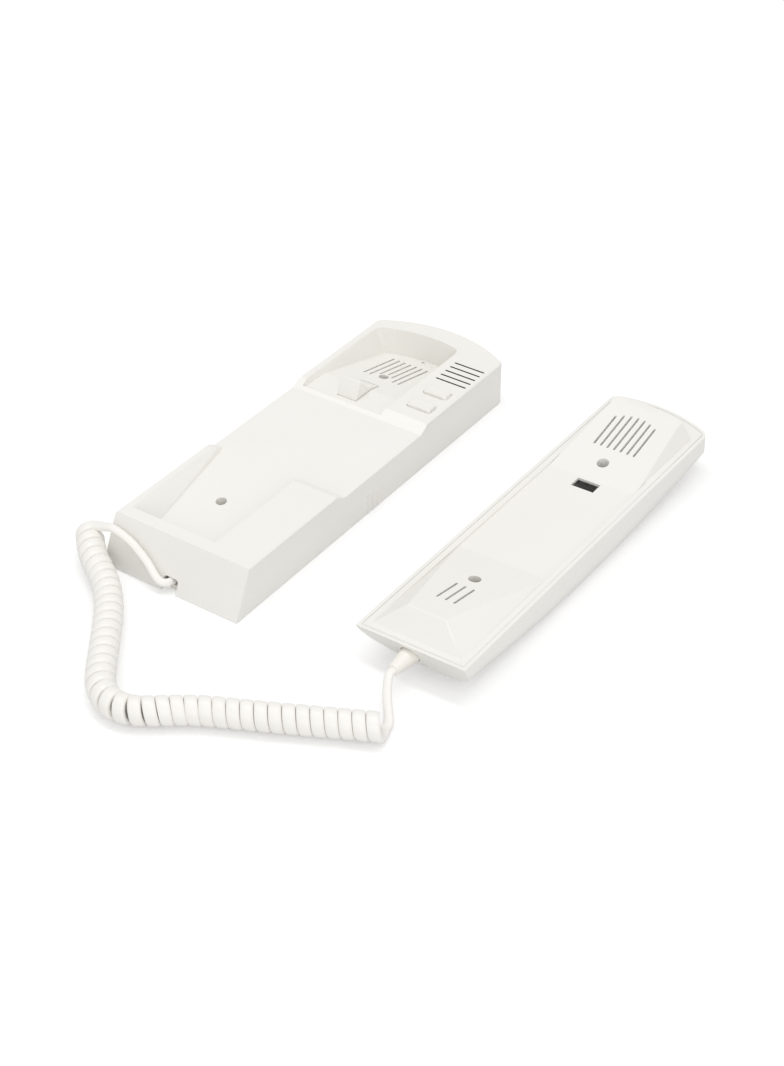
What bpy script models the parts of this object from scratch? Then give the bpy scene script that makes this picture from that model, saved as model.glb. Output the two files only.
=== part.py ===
"""Slim wall telephone: a wall base with two pockets, a handset and a curly cord.

Run with: blender --background --python part.py
Units are metres, +Z is up. The origin is the middle of the base's wall face, which lies on
the table here. +Y runs along the base to its arched end. The handset lies beside the base on
its crowned back, and the curly cord joins the two lower ends.
"""
import bpy
import bmesh
import numpy as np
from math import acos, asin, atan2, cos, pi, radians, sin, sqrt, tan
from mathutils import Matrix, Vector

MM = 0.001

# ---- clearances and walls ---------------------------------------------------
GAP = 0.3 * MM                   # between pieces that seat on each other
SKIN = 2.0 * MM                  # moulded wall thickness of both housings
REACH = 1.5 * MM                 # how far a cutter runs past the face it cuts
EDGE_CHAMFER = 0.4 * MM          # broken edge round the pockets and the window

# ---- base -------------------------------------------------------------------
BASE_WIDTH = 70.0 * MM
BASE_LENGTH = 210.0 * MM
BASE_HEIGHT = 21.0 * MM
ARCH_RISE = 10.5 * MM            # rise of the arched upper end
CORNER_RADIUS = 4.0 * MM
END_LEAN = 10.0 * MM             # how far the lower end wall leans in over the height
OUTER_CHAMFER = 0.6 * MM
WAIST_DROP = 3.0 * MM            # the middle of the face is this much lower
WAIST_START = 69.5 * MM          # distances along the base are from its lower end
WAIST_END = BASE_LENGTH - 72.5 * MM
WAIST_SLOPE = 5.5 * MM           # length of the slope at each end of the waist
RIM_WIDTH = 3.9 * MM             # rim left of the cradle
STRIP_WIDTH = 22.8 * MM          # fixed strip right of the cradle
RIB_Y = 95.5 * MM                # latch ribs on the right side
RIB_PITCH = 3.7 * MM
RIB_PROUD = 0.35 * MM

# ---- cradle pockets ---------------------------------------------------------
MOUTH_FRONT = 16.5 * MM          # upper edge of the pocket's front wall
MOUTH_REAR = 76.8 * MM           # where its floor meets the waist
MOUTH_FALL = 0.13                # slope of its floor
MOUTH_FACET = 6.6 * MM           # width of its slanted sides at the front
MOUTH_LIP = 5.0 * MM             # run of its front wall
EAR_START = BASE_LENGTH - 76.0 * MM          # where the ear pocket's side walls begin
EAR_FLOOR_START = BASE_LENGTH - 60.2 * MM    # where its floor leaves the waist's level
EAR_FALL = 0.222
EAR_DRAFT = 4.5 * MM             # how far its side walls lean in at the end
EAR_END_RADIUS = 59.8 * MM
EAR_END_Y = BASE_LENGTH - 10.4 * MM
EAR_END_X = -4.4 * MM
PIP_RADIUS = 0.8 * MM            # vent hole at the foot of its end wall
PIP_OFFSET = 2.2 * MM
PIP_INSET = 2.6 * MM

# ---- handset, in its own frame ----------------------------------------------
# Origin: middle of the face's lower end. +Y to the earpiece, +Z out of the inner face.
HANDSET_WIDTH = 50.8 * MM
HANDSET_OFFSET = 9.9 * MM        # docked: handset's origin above the base's lower end
HANDSET_LIP = 1.6 * MM           # shell wall that shows round the inner face
DEPTH_LOWER = 12.4 * MM          # depth of the back shell at its lower end
DEPTH_MIDDLE = 18.2 * MM
DEPTH_UPPER = 10.8 * MM
CROWN_MIDDLE = 95.0 * MM         # where the back is deepest
CROWN_SIDE = 36.0 * MM           # ridge of the back, from its sloped side
CROWN_SOFT = 2.0                 # exponents of the two sides of the back's section
CROWN_HARD = 5.0
CROWN_HARD_END = 3.2             # the hard side is rounder at the lower end
CROWN_RUN = 60.0 * MM            # and reaches its full exponent here
HANDSET_CORNER = 3.0 * MM
RIM_EDGE = 0.9 * MM              # upright edge where the back meets its rim
END_SKEW = 2.9 * MM              # its arched end is this much less askew than the base's
END_SHORT = 0.6 * MM             # and ends this much short of it
FACE_RECESS = 0.8 * MM
BORDER = 4.1 * MM                # flat border round the inner face
MOUTH_FOOT = 3.2 * MM
MOUTH_FOOT_INSET = 0.4 * MM
MOUTH_RIDGE_Y = 10.3 * MM
MOUTH_RIDGE_HALF = 8.9 * MM
MOUTH_RIDGE_RISE = 9.4 * MM
MOUTH_TAPER_END = 64.0 * MM
EAR_TAPER_START = BASE_LENGTH - 76.0 * MM
EAR_RISE = 0.206                 # slope of the earpiece plate
EAR_CREST_HALF = 17.2 * MM
EAR_CREST_RISE = 9.3 * MM
EAR_CREASE_INSET = 7.0 * MM
EAR_SHOULDER_INSET = 2.9 * MM
EAR_FOOT_SWEEP = 1.6 * MM        # its foot runs this much further out at the ridge's side
DOCK_PLAY = 1.2 * MM             # play of the earpiece end in its pocket

# ---- resting pose of the handset --------------------------------------------
HANDSET_X = 111.8 * MM
HANDSET_Y = -93.2 * MM
HANDSET_YAW = radians(-0.6)
HANDSET_ROLL = radians(1.4)
HANDSET_PITCH = radians(0.55)

# ---- sound slots, buttons, screws -------------------------------------------
SLOT_WIDTH = 1.0 * MM
RINGER_SLOTS = 5
RINGER_SLOT_LENGTH = 16.5 * MM
RINGER_SLOT_PITCH = 3.9 * MM
RINGER_Y = BASE_LENGTH - 30.6 * MM
POCKET_SLOTS = 7
POCKET_SLOT_PITCH = 3.17 * MM
POCKET_SLOT_LENGTH = 25.3 * MM
POCKET_SLOT_START = BASE_LENGTH - 45.0 * MM
EAR_SLOTS = 7
EAR_SLOT_PITCH = 3.25 * MM
EAR_SLOT_LENGTH = 22.2 * MM      # of the middle one
EAR_SLOT_START = BASE_LENGTH - 56.5 * MM
EAR_SLOT_BOW = 3.7               # how strongly their upper ends follow the arch
MOUTH_SLOTS = 3
MOUTH_SLOT_PITCH = 4.0 * MM
MOUTH_SLOT_LENGTH = 14.9 * MM
MOUTH_SLOT_START = 22.8 * MM
BUTTON_X = 24.7 * MM
BUTTON_LENGTH = 12.2 * MM
BUTTON_WIDTH = 6.2 * MM
BUTTON_CORNER = 1.4 * MM
BUTTON_CROWN = 0.8 * MM          # broken edge of a cap
BUTTON_FLANGE = 1.0 * MM         # how far its flange stands out below the cover
BUTTON_PROUD = 1.5 * MM
BUTTON_TRAVEL = 1.0 * MM
LOWER_BUTTON_Y = BASE_LENGTH - 62.2 * MM
UPPER_BUTTON_Y = BASE_LENGTH - 49.2 * MM
COVER_HOLE_RADIUS = 2.45 * MM
LOWER_SCREW_Y = 47.5 * MM
UPPER_SCREW_Y = BASE_LENGTH - 42.4 * MM
COVER_SCREW_LEDGE = 9.2 * MM     # height of the ledge under the cover screws' heads
HANDSET_HOLE_RADIUS = 2.7 * MM
FACE_DETAIL_X = -0.7 * MM        # screws and ear slots sit off the handset's middle line
MOUTH_SCREW_Y = 44.9 * MM
EAR_SCREW_Y = BASE_LENGTH - 65.1 * MM
HANDSET_SCREW_LEDGE = -6.5 * MM
BOSS_WALL = 1.4 * MM
LEDGE_THICKNESS = 1.5 * MM
HEAD_PLAY = 0.3 * MM
SCREW_SHANK_RADIUS = 1.2 * MM
SCREW_HEAD_HEIGHT = 1.8 * MM
HANDSET_SCREW_LENGTH = 5.4 * MM  # under the head

# ---- hook -------------------------------------------------------------------
HOOK_WIDTH = 9.8 * MM
HOOK_PIVOT_Y = BASE_LENGTH - 59.5 * MM
HOOK_PIVOT_Z = 8.0 * MM
HOOK_TIP_Y = HOOK_PIVOT_Y - 8.1 * MM
HOOK_TIP_Z = 25.4 * MM
HOOK_TIP_WIDTH = 0.9 * MM
HOOK_FRONT_Y = HOOK_PIVOT_Y - 11.9 * MM
HOOK_BACK_Y = HOOK_PIVOT_Y + 5.5 * MM
TOOTH_BEVEL = 1.2 * MM           # broken corners of the tooth
TOOTH_BROW_LENGTH = 5.5 * MM     # the tooth's low back part
TOOTH_BROW_HEIGHT = 2.4 * MM
ARM_HALF_WIDTH = 2.5 * MM
ARM_THICKNESS = 1.6 * MM
HOOK_PIN_RADIUS = 1.0 * MM
HOOK_SWING = 6.0                 # degrees
HUB_RADIUS = 2.4 * MM
HUB_INSET = 1.0 * MM             # the hub runs between two lugs that stand under the tooth
LUG_WALL = 2.0 * MM
LUG_HALF = 2.6 * MM
LUG_TOP = 2.2 * MM               # above the pin's axis
HOOK_SWITCH_Y = HOOK_PIVOT_Y - 24.0 * MM
HOOK_SWITCH_HEIGHT = 2.7 * MM
WINDOW_LENGTH = 10.8 * MM
WINDOW_WIDTH = 6.4 * MM
WINDOW_Y = BASE_LENGTH - 80.6 * MM

# ---- wall plate, board and small works --------------------------------------
PLATE_THICKNESS = 2.0 * MM
BOARD_THICKNESS = 1.6 * MM
BOARD_TOP = 7.6 * MM
BOARD_PLAY = 1.5 * MM
BOARD_INSET = 6.0 * MM
BOARD_MARGIN = 8.0 * MM
SWITCH_HALF = 3.0 * MM
TERMINAL_Y = 92.0 * MM
SPEAKER_RADIUS = 8.0 * MM
SPEAKER_HEIGHT = 4.5 * MM
EARPIECE_RADIUS = 12.5 * MM
EARPIECE_HEIGHT = 4.5 * MM
MICROPHONE_RADIUS = 4.8 * MM
MICROPHONE_HEIGHT = 5.0 * MM
CABLE_WINDOW = 16.0 * MM
CABLE_WINDOW_Y = 66.0 * MM
WALL_SLOT_LENGTH = 9.0 * MM
WALL_SLOT_WIDTH = 4.4 * MM
WALL_SLOT_LOWER_Y = 30.0 * MM
WALL_SLOT_UPPER_Y = BASE_LENGTH - 24.0 * MM

# ---- cord -------------------------------------------------------------------
WIRE_DIAMETER = 3.2 * MM
COIL_RADIUS = 4.5 * MM           # of the wire's centreline
CURLS = 39.5
POINTS_PER_CURL = 9
NOTCH_WIDTH = 7.6 * MM
NOTCH_HEIGHT = 5.9 * MM
NOTCH_X = -0.5 * MM
NOTCH_CORNER = 1.5 * MM
GRIP_SETBACK = 2.0 * MM          # the cord grip stands this far behind the notch
BOOT_LENGTH = 13.0 * MM
BOOT_ROOT_RADIUS = 4.0 * MM
BOOT_TIP_RADIUS = 2.5 * MM
BOOT_COLLAR_RADIUS = 4.4 * MM
COLLAR_THICKNESS = 1.8 * MM
BOOT_X = -1.8 * MM               # its axis from the handset's middle line
BOOT_DEPTH = 6.2 * MM            # its axis below the handset's face

# ---- values that follow from the above --------------------------------------
ARCH_RADIUS = ((BASE_WIDTH / 2) ** 2 + ARCH_RISE ** 2) / (2 * ARCH_RISE)
ARCH_CENTRE = (0.0, BASE_LENGTH - ARCH_RADIUS)
WAIST_Z = BASE_HEIGHT - WAIST_DROP
CRADLE_LEFT = -BASE_WIDTH / 2 + RIM_WIDTH
CRADLE_RIGHT = BASE_WIDTH / 2 - STRIP_WIDTH
CRADLE_X = -BASE_WIDTH / 2 + HANDSET_WIDTH / 2          # centre of the docked handset
EAR_CENTRE = (EAR_END_X, EAR_END_Y - EAR_END_RADIUS)
HANDSET_ARCH = (CRADLE_X - ARCH_CENTRE[0] + END_SKEW, ARCH_CENTRE[1] - HANDSET_OFFSET - END_SHORT)
BUMP_ARCH = (CRADLE_X - EAR_CENTRE[0], EAR_CENTRE[1] - HANDSET_OFFSET)
BUMP_RADIUS = EAR_END_RADIUS - DOCK_PLAY
FACE_HALF = HANDSET_WIDTH / 2 - BORDER - GAP
END_SLANT = END_LEAN / BASE_HEIGHT                      # the handset's lower end follows it
NOTCH_DEPTH = NOTCH_HEIGHT * END_SLANT + SKIN * 1.6     # from the base's lower end
GRIP_Y = NOTCH_DEPTH + GRIP_SETBACK


def to_base(y):
    """Turn a distance from the base's lower end into the part's own Y."""
    return y - BASE_LENGTH / 2


# ---- scene and materials ------------------------------------------------------
def clear_scene():
    for obj in list(bpy.data.objects):
        bpy.data.objects.remove(obj, do_unlink=True)


def material(name, colour, roughness=0.4, metallic=0.0):
    found = bpy.data.materials.get(name)
    if found:
        return found
    made = bpy.data.materials.new(name)
    made.use_nodes = True
    shader = made.node_tree.nodes["Principled BSDF"]
    shader.inputs["Base Color"].default_value = (*colour, 1.0)
    shader.inputs["Roughness"].default_value = roughness
    shader.inputs["Metallic"].default_value = metallic
    return made


def white_abs():
    return material("white_abs", (0.86, 0.85, 0.82), 0.38)


def white_pvc():
    return material("white_pvc", (0.88, 0.86, 0.82), 0.45)


def steel():
    return material("zinc_steel", (0.62, 0.62, 0.60), 0.32, 1.0)


def black_plastic():
    return material("black_plastic", (0.03, 0.03, 0.03), 0.5)


def board_green():
    return material("board_green", (0.05, 0.22, 0.10), 0.45)


def brass():
    return material("brass", (0.70, 0.52, 0.22), 0.3, 1.0)


def foam():
    return material("rubber_sleeve", (0.05, 0.05, 0.05), 0.8)


# ---- mesh tools -----------------------------------------------------------------
def link(name, mesh, look=None):
    obj = bpy.data.objects.new(name, mesh)
    bpy.context.scene.collection.objects.link(obj)
    if look:
        mesh.materials.clear()
        mesh.materials.append(look)
    return obj


def solid(name, vertices, faces, look=None):
    """Make an object from vertices and faces, with its faces turned outwards."""
    mesh = bpy.data.meshes.new(name)
    mesh.from_pydata([tuple(v) for v in vertices], [], faces)
    work = bmesh.new()
    work.from_mesh(mesh)
    bmesh.ops.remove_doubles(work, verts=work.verts, dist=0.00001)
    bmesh.ops.recalc_face_normals(work, faces=work.faces)
    if work.calc_volume(signed=True) < 0:
        bmesh.ops.reverse_faces(work, faces=work.faces)
    work.to_mesh(mesh)
    work.free()
    return link(name, mesh, look)


def rings(name, loops, look=None):
    """Skin a stack of closed loops that have equal counts, and cap both ends."""
    count = len(loops[0])
    vertices = [v for loop in loops for v in loop]
    faces = [tuple(range(count)), tuple(range(len(vertices) - count, len(vertices)))]
    for level in range(len(loops) - 1):
        for i in range(count):
            j = (i + 1) % count
            a = level * count
            b = a + count
            faces.append((a + i, a + j, b + j, b + i))
    return solid(name, vertices, faces, look)


def prism(name, outline, low, high, look=None):
    return rings(name, [[(x, y, low) for x, y in outline], [(x, y, high) for x, y in outline]], look)


def prism_x(name, profile, left, right, look=None):
    """Extrude a profile of (y, z) points along X."""
    return rings(name, [[(left, y, z) for y, z in profile], [(right, y, z) for y, z in profile]], look)


def block(name, low, high, look=None):
    outline = [(low[0], low[1]), (high[0], low[1]), (high[0], high[1]), (low[0], high[1])]
    return prism(name, outline, low[2], high[2], look)


def turned(name, profile, segments=20, look=None):
    """Turn a profile of (radius, z) points, from its lower to its upper end, about Z."""
    loops = []
    for radius, z in profile:
        loops.append([(radius * cos(2 * pi * i / segments), radius * sin(2 * pi * i / segments), z)
                      for i in range(segments)])
    return rings(name, loops, look)


def drum(name, centre, radius, low, high, segments=20, look=None):
    obj = turned(name, [(radius, low), (radius, high)], segments, look)
    obj.data.transform(Matrix.Translation((centre[0], centre[1], 0)))
    return obj


def slot_outline(centre, length, width, along_x=True, steps=4):
    """A slot with round ends, as (x, y) points."""
    half = length / 2 - width / 2
    points = []
    for side in (1, -1):
        for i in range(steps + 1):
            turn = -pi / 2 + pi * i / steps + (0 if side > 0 else pi)
            points.append((side * half + width / 2 * cos(turn), width / 2 * sin(turn)))
    if not along_x:
        points = [(-y, x) for x, y in points]
    return [(centre[0] + x, centre[1] + y) for x, y in points]


def rounded_box_outline(centre, length, width, radius, steps=3):
    points = []
    for sx, sy, start in ((1, -1, -pi / 2), (1, 1, 0), (-1, 1, pi / 2), (-1, -1, pi)):
        for i in range(steps + 1):
            turn = start + pi / 2 * i / steps
            points.append((centre[0] + sx * (length / 2 - radius) + radius * cos(turn),
                           centre[1] + sy * (width / 2 - radius) + radius * sin(turn)))
    return points


def merged(name, pieces):
    """Put separate, untouching closed pieces into one mesh object."""
    work = bmesh.new()
    for piece in pieces:
        mesh = piece.data.copy()
        mesh.transform(piece.matrix_basis)
        work.from_mesh(mesh)
        bpy.data.meshes.remove(mesh)
        bpy.data.objects.remove(piece, do_unlink=True)
    mesh = bpy.data.meshes.new(name)
    work.to_mesh(mesh)
    work.free()
    return link(name, mesh)


def combine(target, others, operation):
    """Boolean each of the others with the target, and remove them."""
    for other in others:
        step = target.modifiers.new(operation.lower(), "BOOLEAN")
        step.operation = operation
        step.solver = "EXACT"
        step.object = other
    bpy.context.view_layer.update()
    graph = bpy.context.evaluated_depsgraph_get()
    result = bpy.data.meshes.new_from_object(target.evaluated_get(graph))
    looks = list(target.data.materials)
    target.modifiers.clear()
    target.data = result
    result.materials.clear()
    for look in looks:
        result.materials.append(look)
    for polygon in result.polygons:
        polygon.material_index = 0
    for other in others:
        bpy.data.objects.remove(other, do_unlink=True)
    return target


def cut(target, *cutters):
    return combine(target, cutters, "DIFFERENCE")


def add(target, *pieces):
    return combine(target, pieces, "UNION")


def tidy(obj, angle=1.0):
    """Merge flat neighbouring faces and tiny edges that the Booleans leave."""
    work = bmesh.new()
    work.from_mesh(obj.data)
    bmesh.ops.remove_doubles(work, verts=work.verts, dist=0.000005)
    bmesh.ops.dissolve_degenerate(work, edges=work.edges, dist=0.000005)
    bmesh.ops.dissolve_limit(work, angle_limit=radians(angle), verts=work.verts, edges=work.edges)
    bmesh.ops.triangulate(work, faces=work.faces, ngon_method="EAR_CLIP")
    work.to_mesh(obj.data)
    work.free()
    obj.data.set_sharp_from_angle(angle=radians(28))
    return obj


def carry(parent, *pieces):
    for piece in pieces:
        piece.parent = parent
    return pieces[0]


# ---- outlines shared by what fits together -------------------------------------
def arched_outline(left, right, low, centre, radius, corner, arc_steps=14, corner_steps=4):
    """A plan with straight sides, a straight lower end and an arched, round-cornered upper end."""
    points = [(left, low), (right, low)]
    ends = []
    for edge, side in ((right, 1), (left, -1)):
        x = edge - side * corner
        y = centre[1] + sqrt((radius - corner) ** 2 - (x - centre[0]) ** 2)
        ends.append((x, y, atan2(y - centre[1], x - centre[0])))
    x, y, last = ends[0]
    for i in range(corner_steps + 1):
        turn = last * i / corner_steps
        points.append((x + corner * cos(turn), y + corner * sin(turn)))
    x2, y2, first = ends[1]
    for i in range(1, arc_steps):
        turn = last + (first - last) * i / arc_steps
        points.append((centre[0] + radius * cos(turn), centre[1] + radius * sin(turn)))
    for i in range(corner_steps + 1):
        turn = first + (pi - first) * i / corner_steps
        points.append((x2 + corner * cos(turn), y2 + corner * sin(turn)))
    return points


def base_plan(inset, low=0.0):
    half = BASE_WIDTH / 2 - inset
    points = arched_outline(-half, half, low, ARCH_CENTRE, ARCH_RADIUS - inset, CORNER_RADIUS - inset * 0.8)
    return [(x, to_base(y)) for x, y in points]


def lean_end(obj, inset):
    """Trim the lower end with the plane of the leaning end wall."""
    normal = Vector((0, -BASE_HEIGHT, END_LEAN)).normalized()
    point = Vector((0, to_base(0), 0)) - normal * inset
    work = bmesh.new()
    work.from_mesh(obj.data)
    everything = work.verts[:] + work.edges[:] + work.faces[:]
    cut_part = bmesh.ops.bisect_plane(work, geom=everything, plane_co=point, plane_no=normal,
                                      clear_outer=True)
    rim = [e for e in cut_part["geom_cut"] if isinstance(e, bmesh.types.BMEdge)]
    bmesh.ops.contextual_create(work, geom=rim)
    bmesh.ops.recalc_face_normals(work, faces=work.faces)
    work.to_mesh(obj.data)
    work.free()
    return obj


def waist_cutter(drop):
    """The prism that lowers the middle of the face; drop moves it down by a wall."""
    low = WAIST_Z - drop
    rise = BASE_HEIGHT + REACH - WAIST_Z
    run = WAIST_SLOPE * rise / WAIST_DROP
    start = WAIST_START + WAIST_SLOPE
    end = WAIST_END - WAIST_SLOPE
    profile = [(to_base(start), low), (to_base(end), low),
               (to_base(end + run), low + rise), (to_base(start - run), low + rise)]
    return prism_x("waist_cutter", profile, -BASE_WIDTH, BASE_WIDTH)


def mouth_floor(y):
    return WAIST_Z - MOUTH_FALL * (MOUTH_REAR - y)


def mouth_pocket(grow=0.0, chamfer=EDGE_CHAMFER):
    """The lower pocket as a closed solid; grow makes it a wall larger."""
    left = CRADLE_LEFT - grow
    right = CRADLE_RIGHT + grow
    front = MOUTH_FRONT - grow
    rear = MOUTH_REAR
    top = BASE_HEIGHT + REACH
    edge = BASE_HEIGHT - chamfer
    flare = REACH + chamfer
    foot = front + MOUTH_LIP
    facet = MOUTH_FACET
    deep = mouth_floor(foot) - grow

    def ring(out, low, lower_z, upper_z):
        return [(left - out, to_base(low), lower_z), (right + out, to_base(low), lower_z),
                (right + max(out, 0.0), to_base(rear), upper_z),
                (left - max(out, 0.0), to_base(rear), upper_z)]

    loops = [ring(flare, front - flare, top, top), ring(0.0, front, edge, edge),
             ring(-facet, foot, deep, WAIST_Z - grow)]
    return triangulate_concave(rings("mouth_pocket", loops))


def triangulate_concave(obj):
    work = bmesh.new()
    work.from_mesh(obj.data)
    bmesh.ops.triangulate(work, faces=work.faces, quad_method="SHORT_EDGE", ngon_method="EAR_CLIP")
    bmesh.ops.recalc_face_normals(work, faces=work.faces)
    work.to_mesh(obj.data)
    work.free()
    return obj


def ear_floor(y):
    return WAIST_Z - EAR_FALL * max(0.0, y - EAR_FLOOR_START)


def ear_pocket(grow=0.0, chamfer=EDGE_CHAMFER):
    """The upper pocket: side walls that lean in, an arched end and a sloping floor."""
    left = CRADLE_LEFT - grow
    right = CRADLE_RIGHT + grow
    radius = EAR_END_RADIUS + grow
    plan = arched_outline(left, right, EAR_START, EAR_CENTRE, radius, CORNER_RADIUS, 8, 3)
    plan = [plan[0], plan[1], (right, EAR_FLOOR_START)] + plan[2:] + [(left, EAR_FLOOR_START)]
    middle = (left + right) / 2
    half = (right - left) / 2
    flare = REACH + chamfer

    def wide(x, y, extra):
        out = (x - middle) / half
        push = 1 if y > EAR_FLOOR_START else 0
        return (x + out * extra, y + push * extra * sqrt(max(0.0, 1 - abs(out))))

    def foot(x, y):
        lean = EAR_DRAFT * max(0.0, y - EAR_START) / (EAR_END_Y - EAR_START)
        return middle + (x - middle) * (half - lean) / half

    top = [(*wide(x, y, flare), BASE_HEIGHT + REACH) for x, y in plan]
    edge = [(x, y, BASE_HEIGHT - chamfer) for x, y in plan]
    floor = [(foot(x, y), y, ear_floor(y) - grow) for x, y in plan]
    count = len(plan)
    vertices = [(x, to_base(y), z) for x, y, z in top + edge + floor]
    faces = [tuple(range(count))]
    for level in range(2):
        for i in range(count):
            j = (i + 1) % count
            a = level * count
            faces.append((a + i, a + j, a + count + j, a + count + i))
    bottom = [2 * count + i for i in range(count)]
    faces.append((bottom[0], bottom[1], bottom[2], bottom[-1]))
    faces.append(tuple(bottom[2:]))
    return triangulate_concave(solid("ear_pocket", vertices, faces))


# ---- base pieces -----------------------------------------------------------------
def screw_positions():
    return ((CRADLE_X, LOWER_SCREW_Y, mouth_floor(LOWER_SCREW_Y)),
            (CRADLE_X, UPPER_SCREW_Y, ear_floor(UPPER_SCREW_Y)))


def make_base_cover():
    plan = base_plan(0.0)
    inner = base_plan(OUTER_CHAMFER)
    cover = rings("base_cover", [[(x, y, 0) for x, y in plan],
                                 [(x, y, BASE_HEIGHT - OUTER_CHAMFER) for x, y in plan],
                                 [(x, y, BASE_HEIGHT) for x, y in inner]], white_abs())
    lean_end(cover, 0.0)
    cut(cover, waist_cutter(0.0), mouth_pocket(), ear_pocket())

    cavity = prism("cavity", base_plan(SKIN), -REACH, BASE_HEIGHT - SKIN)
    lean_end(cavity, SKIN)
    cut(cavity, waist_cutter(SKIN), mouth_pocket(SKIN, 0.0), ear_pocket(SKIN, 0.0))
    cut(cover, cavity)

    bosses = []
    bores = []
    for x, y, floor in screw_positions():
        bosses.append(drum("boss", (x, to_base(y)), COVER_HOLE_RADIUS + BOSS_WALL,
                           COVER_SCREW_LEDGE - LEDGE_THICKNESS, floor - SKIN / 2))
        bores.append(drum("bore", (x, to_base(y)), COVER_HOLE_RADIUS, COVER_SCREW_LEDGE, floor + REACH * 2))
        bores.append(drum("shank_bore", (x, to_base(y)), SCREW_SHANK_RADIUS + GAP,
                          COVER_SCREW_LEDGE - LEDGE_THICKNESS - REACH, COVER_SCREW_LEDGE + REACH / 2))
    grille = (BUTTON_X, to_base(RINGER_Y))
    ceiling = BASE_HEIGHT - SKIN
    speaker_ring = drum("speaker_ring", grille, SPEAKER_RADIUS + GAP + BOSS_WALL,
                        ceiling - SPEAKER_HEIGHT, ceiling + SKIN / 2, 28)
    speaker_seat = drum("speaker_seat", grille, SPEAKER_RADIUS + GAP,
                        ceiling - SPEAKER_HEIGHT - REACH, ceiling, 28)
    add(cover, *bosses, speaker_ring)
    cut(cover, *bores, speaker_seat)

    cut(cover, merged("sound_slots", ringer_slot_cutters() + pocket_slot_cutters()))
    cut(cover, *button_holes(), hook_slot(), cord_notch(), pip_hole())
    add(cover, *latch_ribs())
    return tidy(cover)


def ringer_slot_cutters():
    cutters = []
    for i in range(RINGER_SLOTS):
        y = RINGER_Y + (i - (RINGER_SLOTS - 1) / 2) * RINGER_SLOT_PITCH
        outline = slot_outline((BUTTON_X, to_base(y)), RINGER_SLOT_LENGTH, SLOT_WIDTH, True, 2)
        cutters.append(prism("slot", outline, BASE_HEIGHT - SKIN - REACH, BASE_HEIGHT + REACH))
    return cutters


def pocket_slot_cutters():
    """Slots in the ear pocket's floor, as deep as its wall; some stop short of the screw hole."""
    cutters = []
    middle = (POCKET_SLOTS - 1) / 2
    clear = COVER_HOLE_RADIUS + SLOT_WIDTH
    for i in range(POCKET_SLOTS):
        x = CRADLE_X + (i - middle) * POCKET_SLOT_PITCH
        end = POCKET_SLOT_START + POCKET_SLOT_LENGTH
        start = POCKET_SLOT_START
        away = abs(x - CRADLE_X)
        if away < clear:
            start = max(start, UPPER_SCREW_Y + sqrt(clear ** 2 - away ** 2))
        outline = slot_outline((x, (start + end) / 2), end - start, SLOT_WIDTH, False, 2)
        loops = [[(px, to_base(py), ear_floor(py) + rise) for px, py in outline]
                 for rise in (-SKIN * 1.2, REACH)]
        cutters.append(rings("slot", loops))
    return cutters


def button_holes():
    holes = []
    for y in (LOWER_BUTTON_Y, UPPER_BUTTON_Y):
        outline = rounded_box_outline((BUTTON_X, to_base(y)), BUTTON_LENGTH + 2 * GAP,
                                      BUTTON_WIDTH + 2 * GAP, BUTTON_CORNER)
        holes.append(prism("button_hole", outline, BASE_HEIGHT - SKIN - REACH, BASE_HEIGHT + REACH))
    return holes


def hook_slot():
    """The opening for the hook's tooth: its front edge is undercut about the pin, so it stays narrow."""
    foot = Vector((HOOK_FRONT_Y - HOOK_PIVOT_Y, WAIST_Z - HOOK_PIVOT_Z))
    tip = Vector((HOOK_TIP_Y - HOOK_PIVOT_Y, HOOK_TIP_Z - HOOK_PIVOT_Z))
    swing = Matrix.Rotation(radians(HOOK_SWING), 2)
    down = swing @ foot
    over = swing @ tip
    edge = down.lerp(over, (foot.y - down.y) / (over.y - down.y)).x - GAP
    back = HOOK_BACK_Y - HOOK_PIVOT_Y + 2 * GAP
    radius = foot.length + GAP
    low = BASE_HEIGHT / 2 - HOOK_PIVOT_Z
    high = BASE_HEIGHT + REACH - HOOK_PIVOT_Z
    first = acos(-edge / radius)
    last = asin(low / radius)
    profile = [(back, high), (edge, high)]
    for i in range(7):
        turn = first + (last - first) * i / 6
        profile.append((-radius * cos(turn), radius * sin(turn)))
    profile.append((back, low))
    half = HOOK_WIDTH / 2 + GAP
    slot = prism_x("hook_slot", profile, -half, half)
    slot.data.transform(Matrix.Translation((CRADLE_X, to_base(HOOK_PIVOT_Y), HOOK_PIVOT_Z)))
    return slot


def cord_notch():
    """The round-topped notch in the foot of the lower end wall."""
    width = NOTCH_WIDTH / 2 - NOTCH_CORNER
    shoulder = NOTCH_HEIGHT - NOTCH_CORNER
    points = [(-NOTCH_WIDTH / 2, -REACH), (NOTCH_WIDTH / 2, -REACH)]
    for side, start in ((1, 0), (-1, pi / 2)):
        for i in range(4):
            turn = start + pi / 2 * i / 3
            points.append((side * width + NOTCH_CORNER * cos(turn), shoulder + NOTCH_CORNER * sin(turn)))
    near = to_base(-REACH)
    far = to_base(NOTCH_DEPTH)
    loops = [[(NOTCH_X + x, y, z) for x, z in points] for y in (near, far)]
    return rings("cord_notch", loops)


def pip_hole():
    """A small vent hole at the foot of the ear pocket's end wall."""
    place = (CRADLE_X + PIP_OFFSET, to_base(EAR_END_Y - PIP_INSET))
    return drum("pip", place, PIP_RADIUS, SKIN + REACH / 3, BASE_HEIGHT / 2, 10)


def latch_ribs():
    """Three short ribs low on the right side, over the plate's latch; each is a little lower."""
    ribs = []
    half = 0.4 * MM
    for i, height in enumerate((10.0 * MM, 8.2 * MM, 7.4 * MM)):
        y = to_base(RIB_Y + (i - 1) * RIB_PITCH)
        inside = BASE_WIDTH / 2 - SKIN / 2
        outside = BASE_WIDTH / 2 + RIB_PROUD
        ribs.append(block("rib", (inside, y - half, OUTER_CHAMFER), (outside, y + half, height)))
    return ribs


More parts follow.
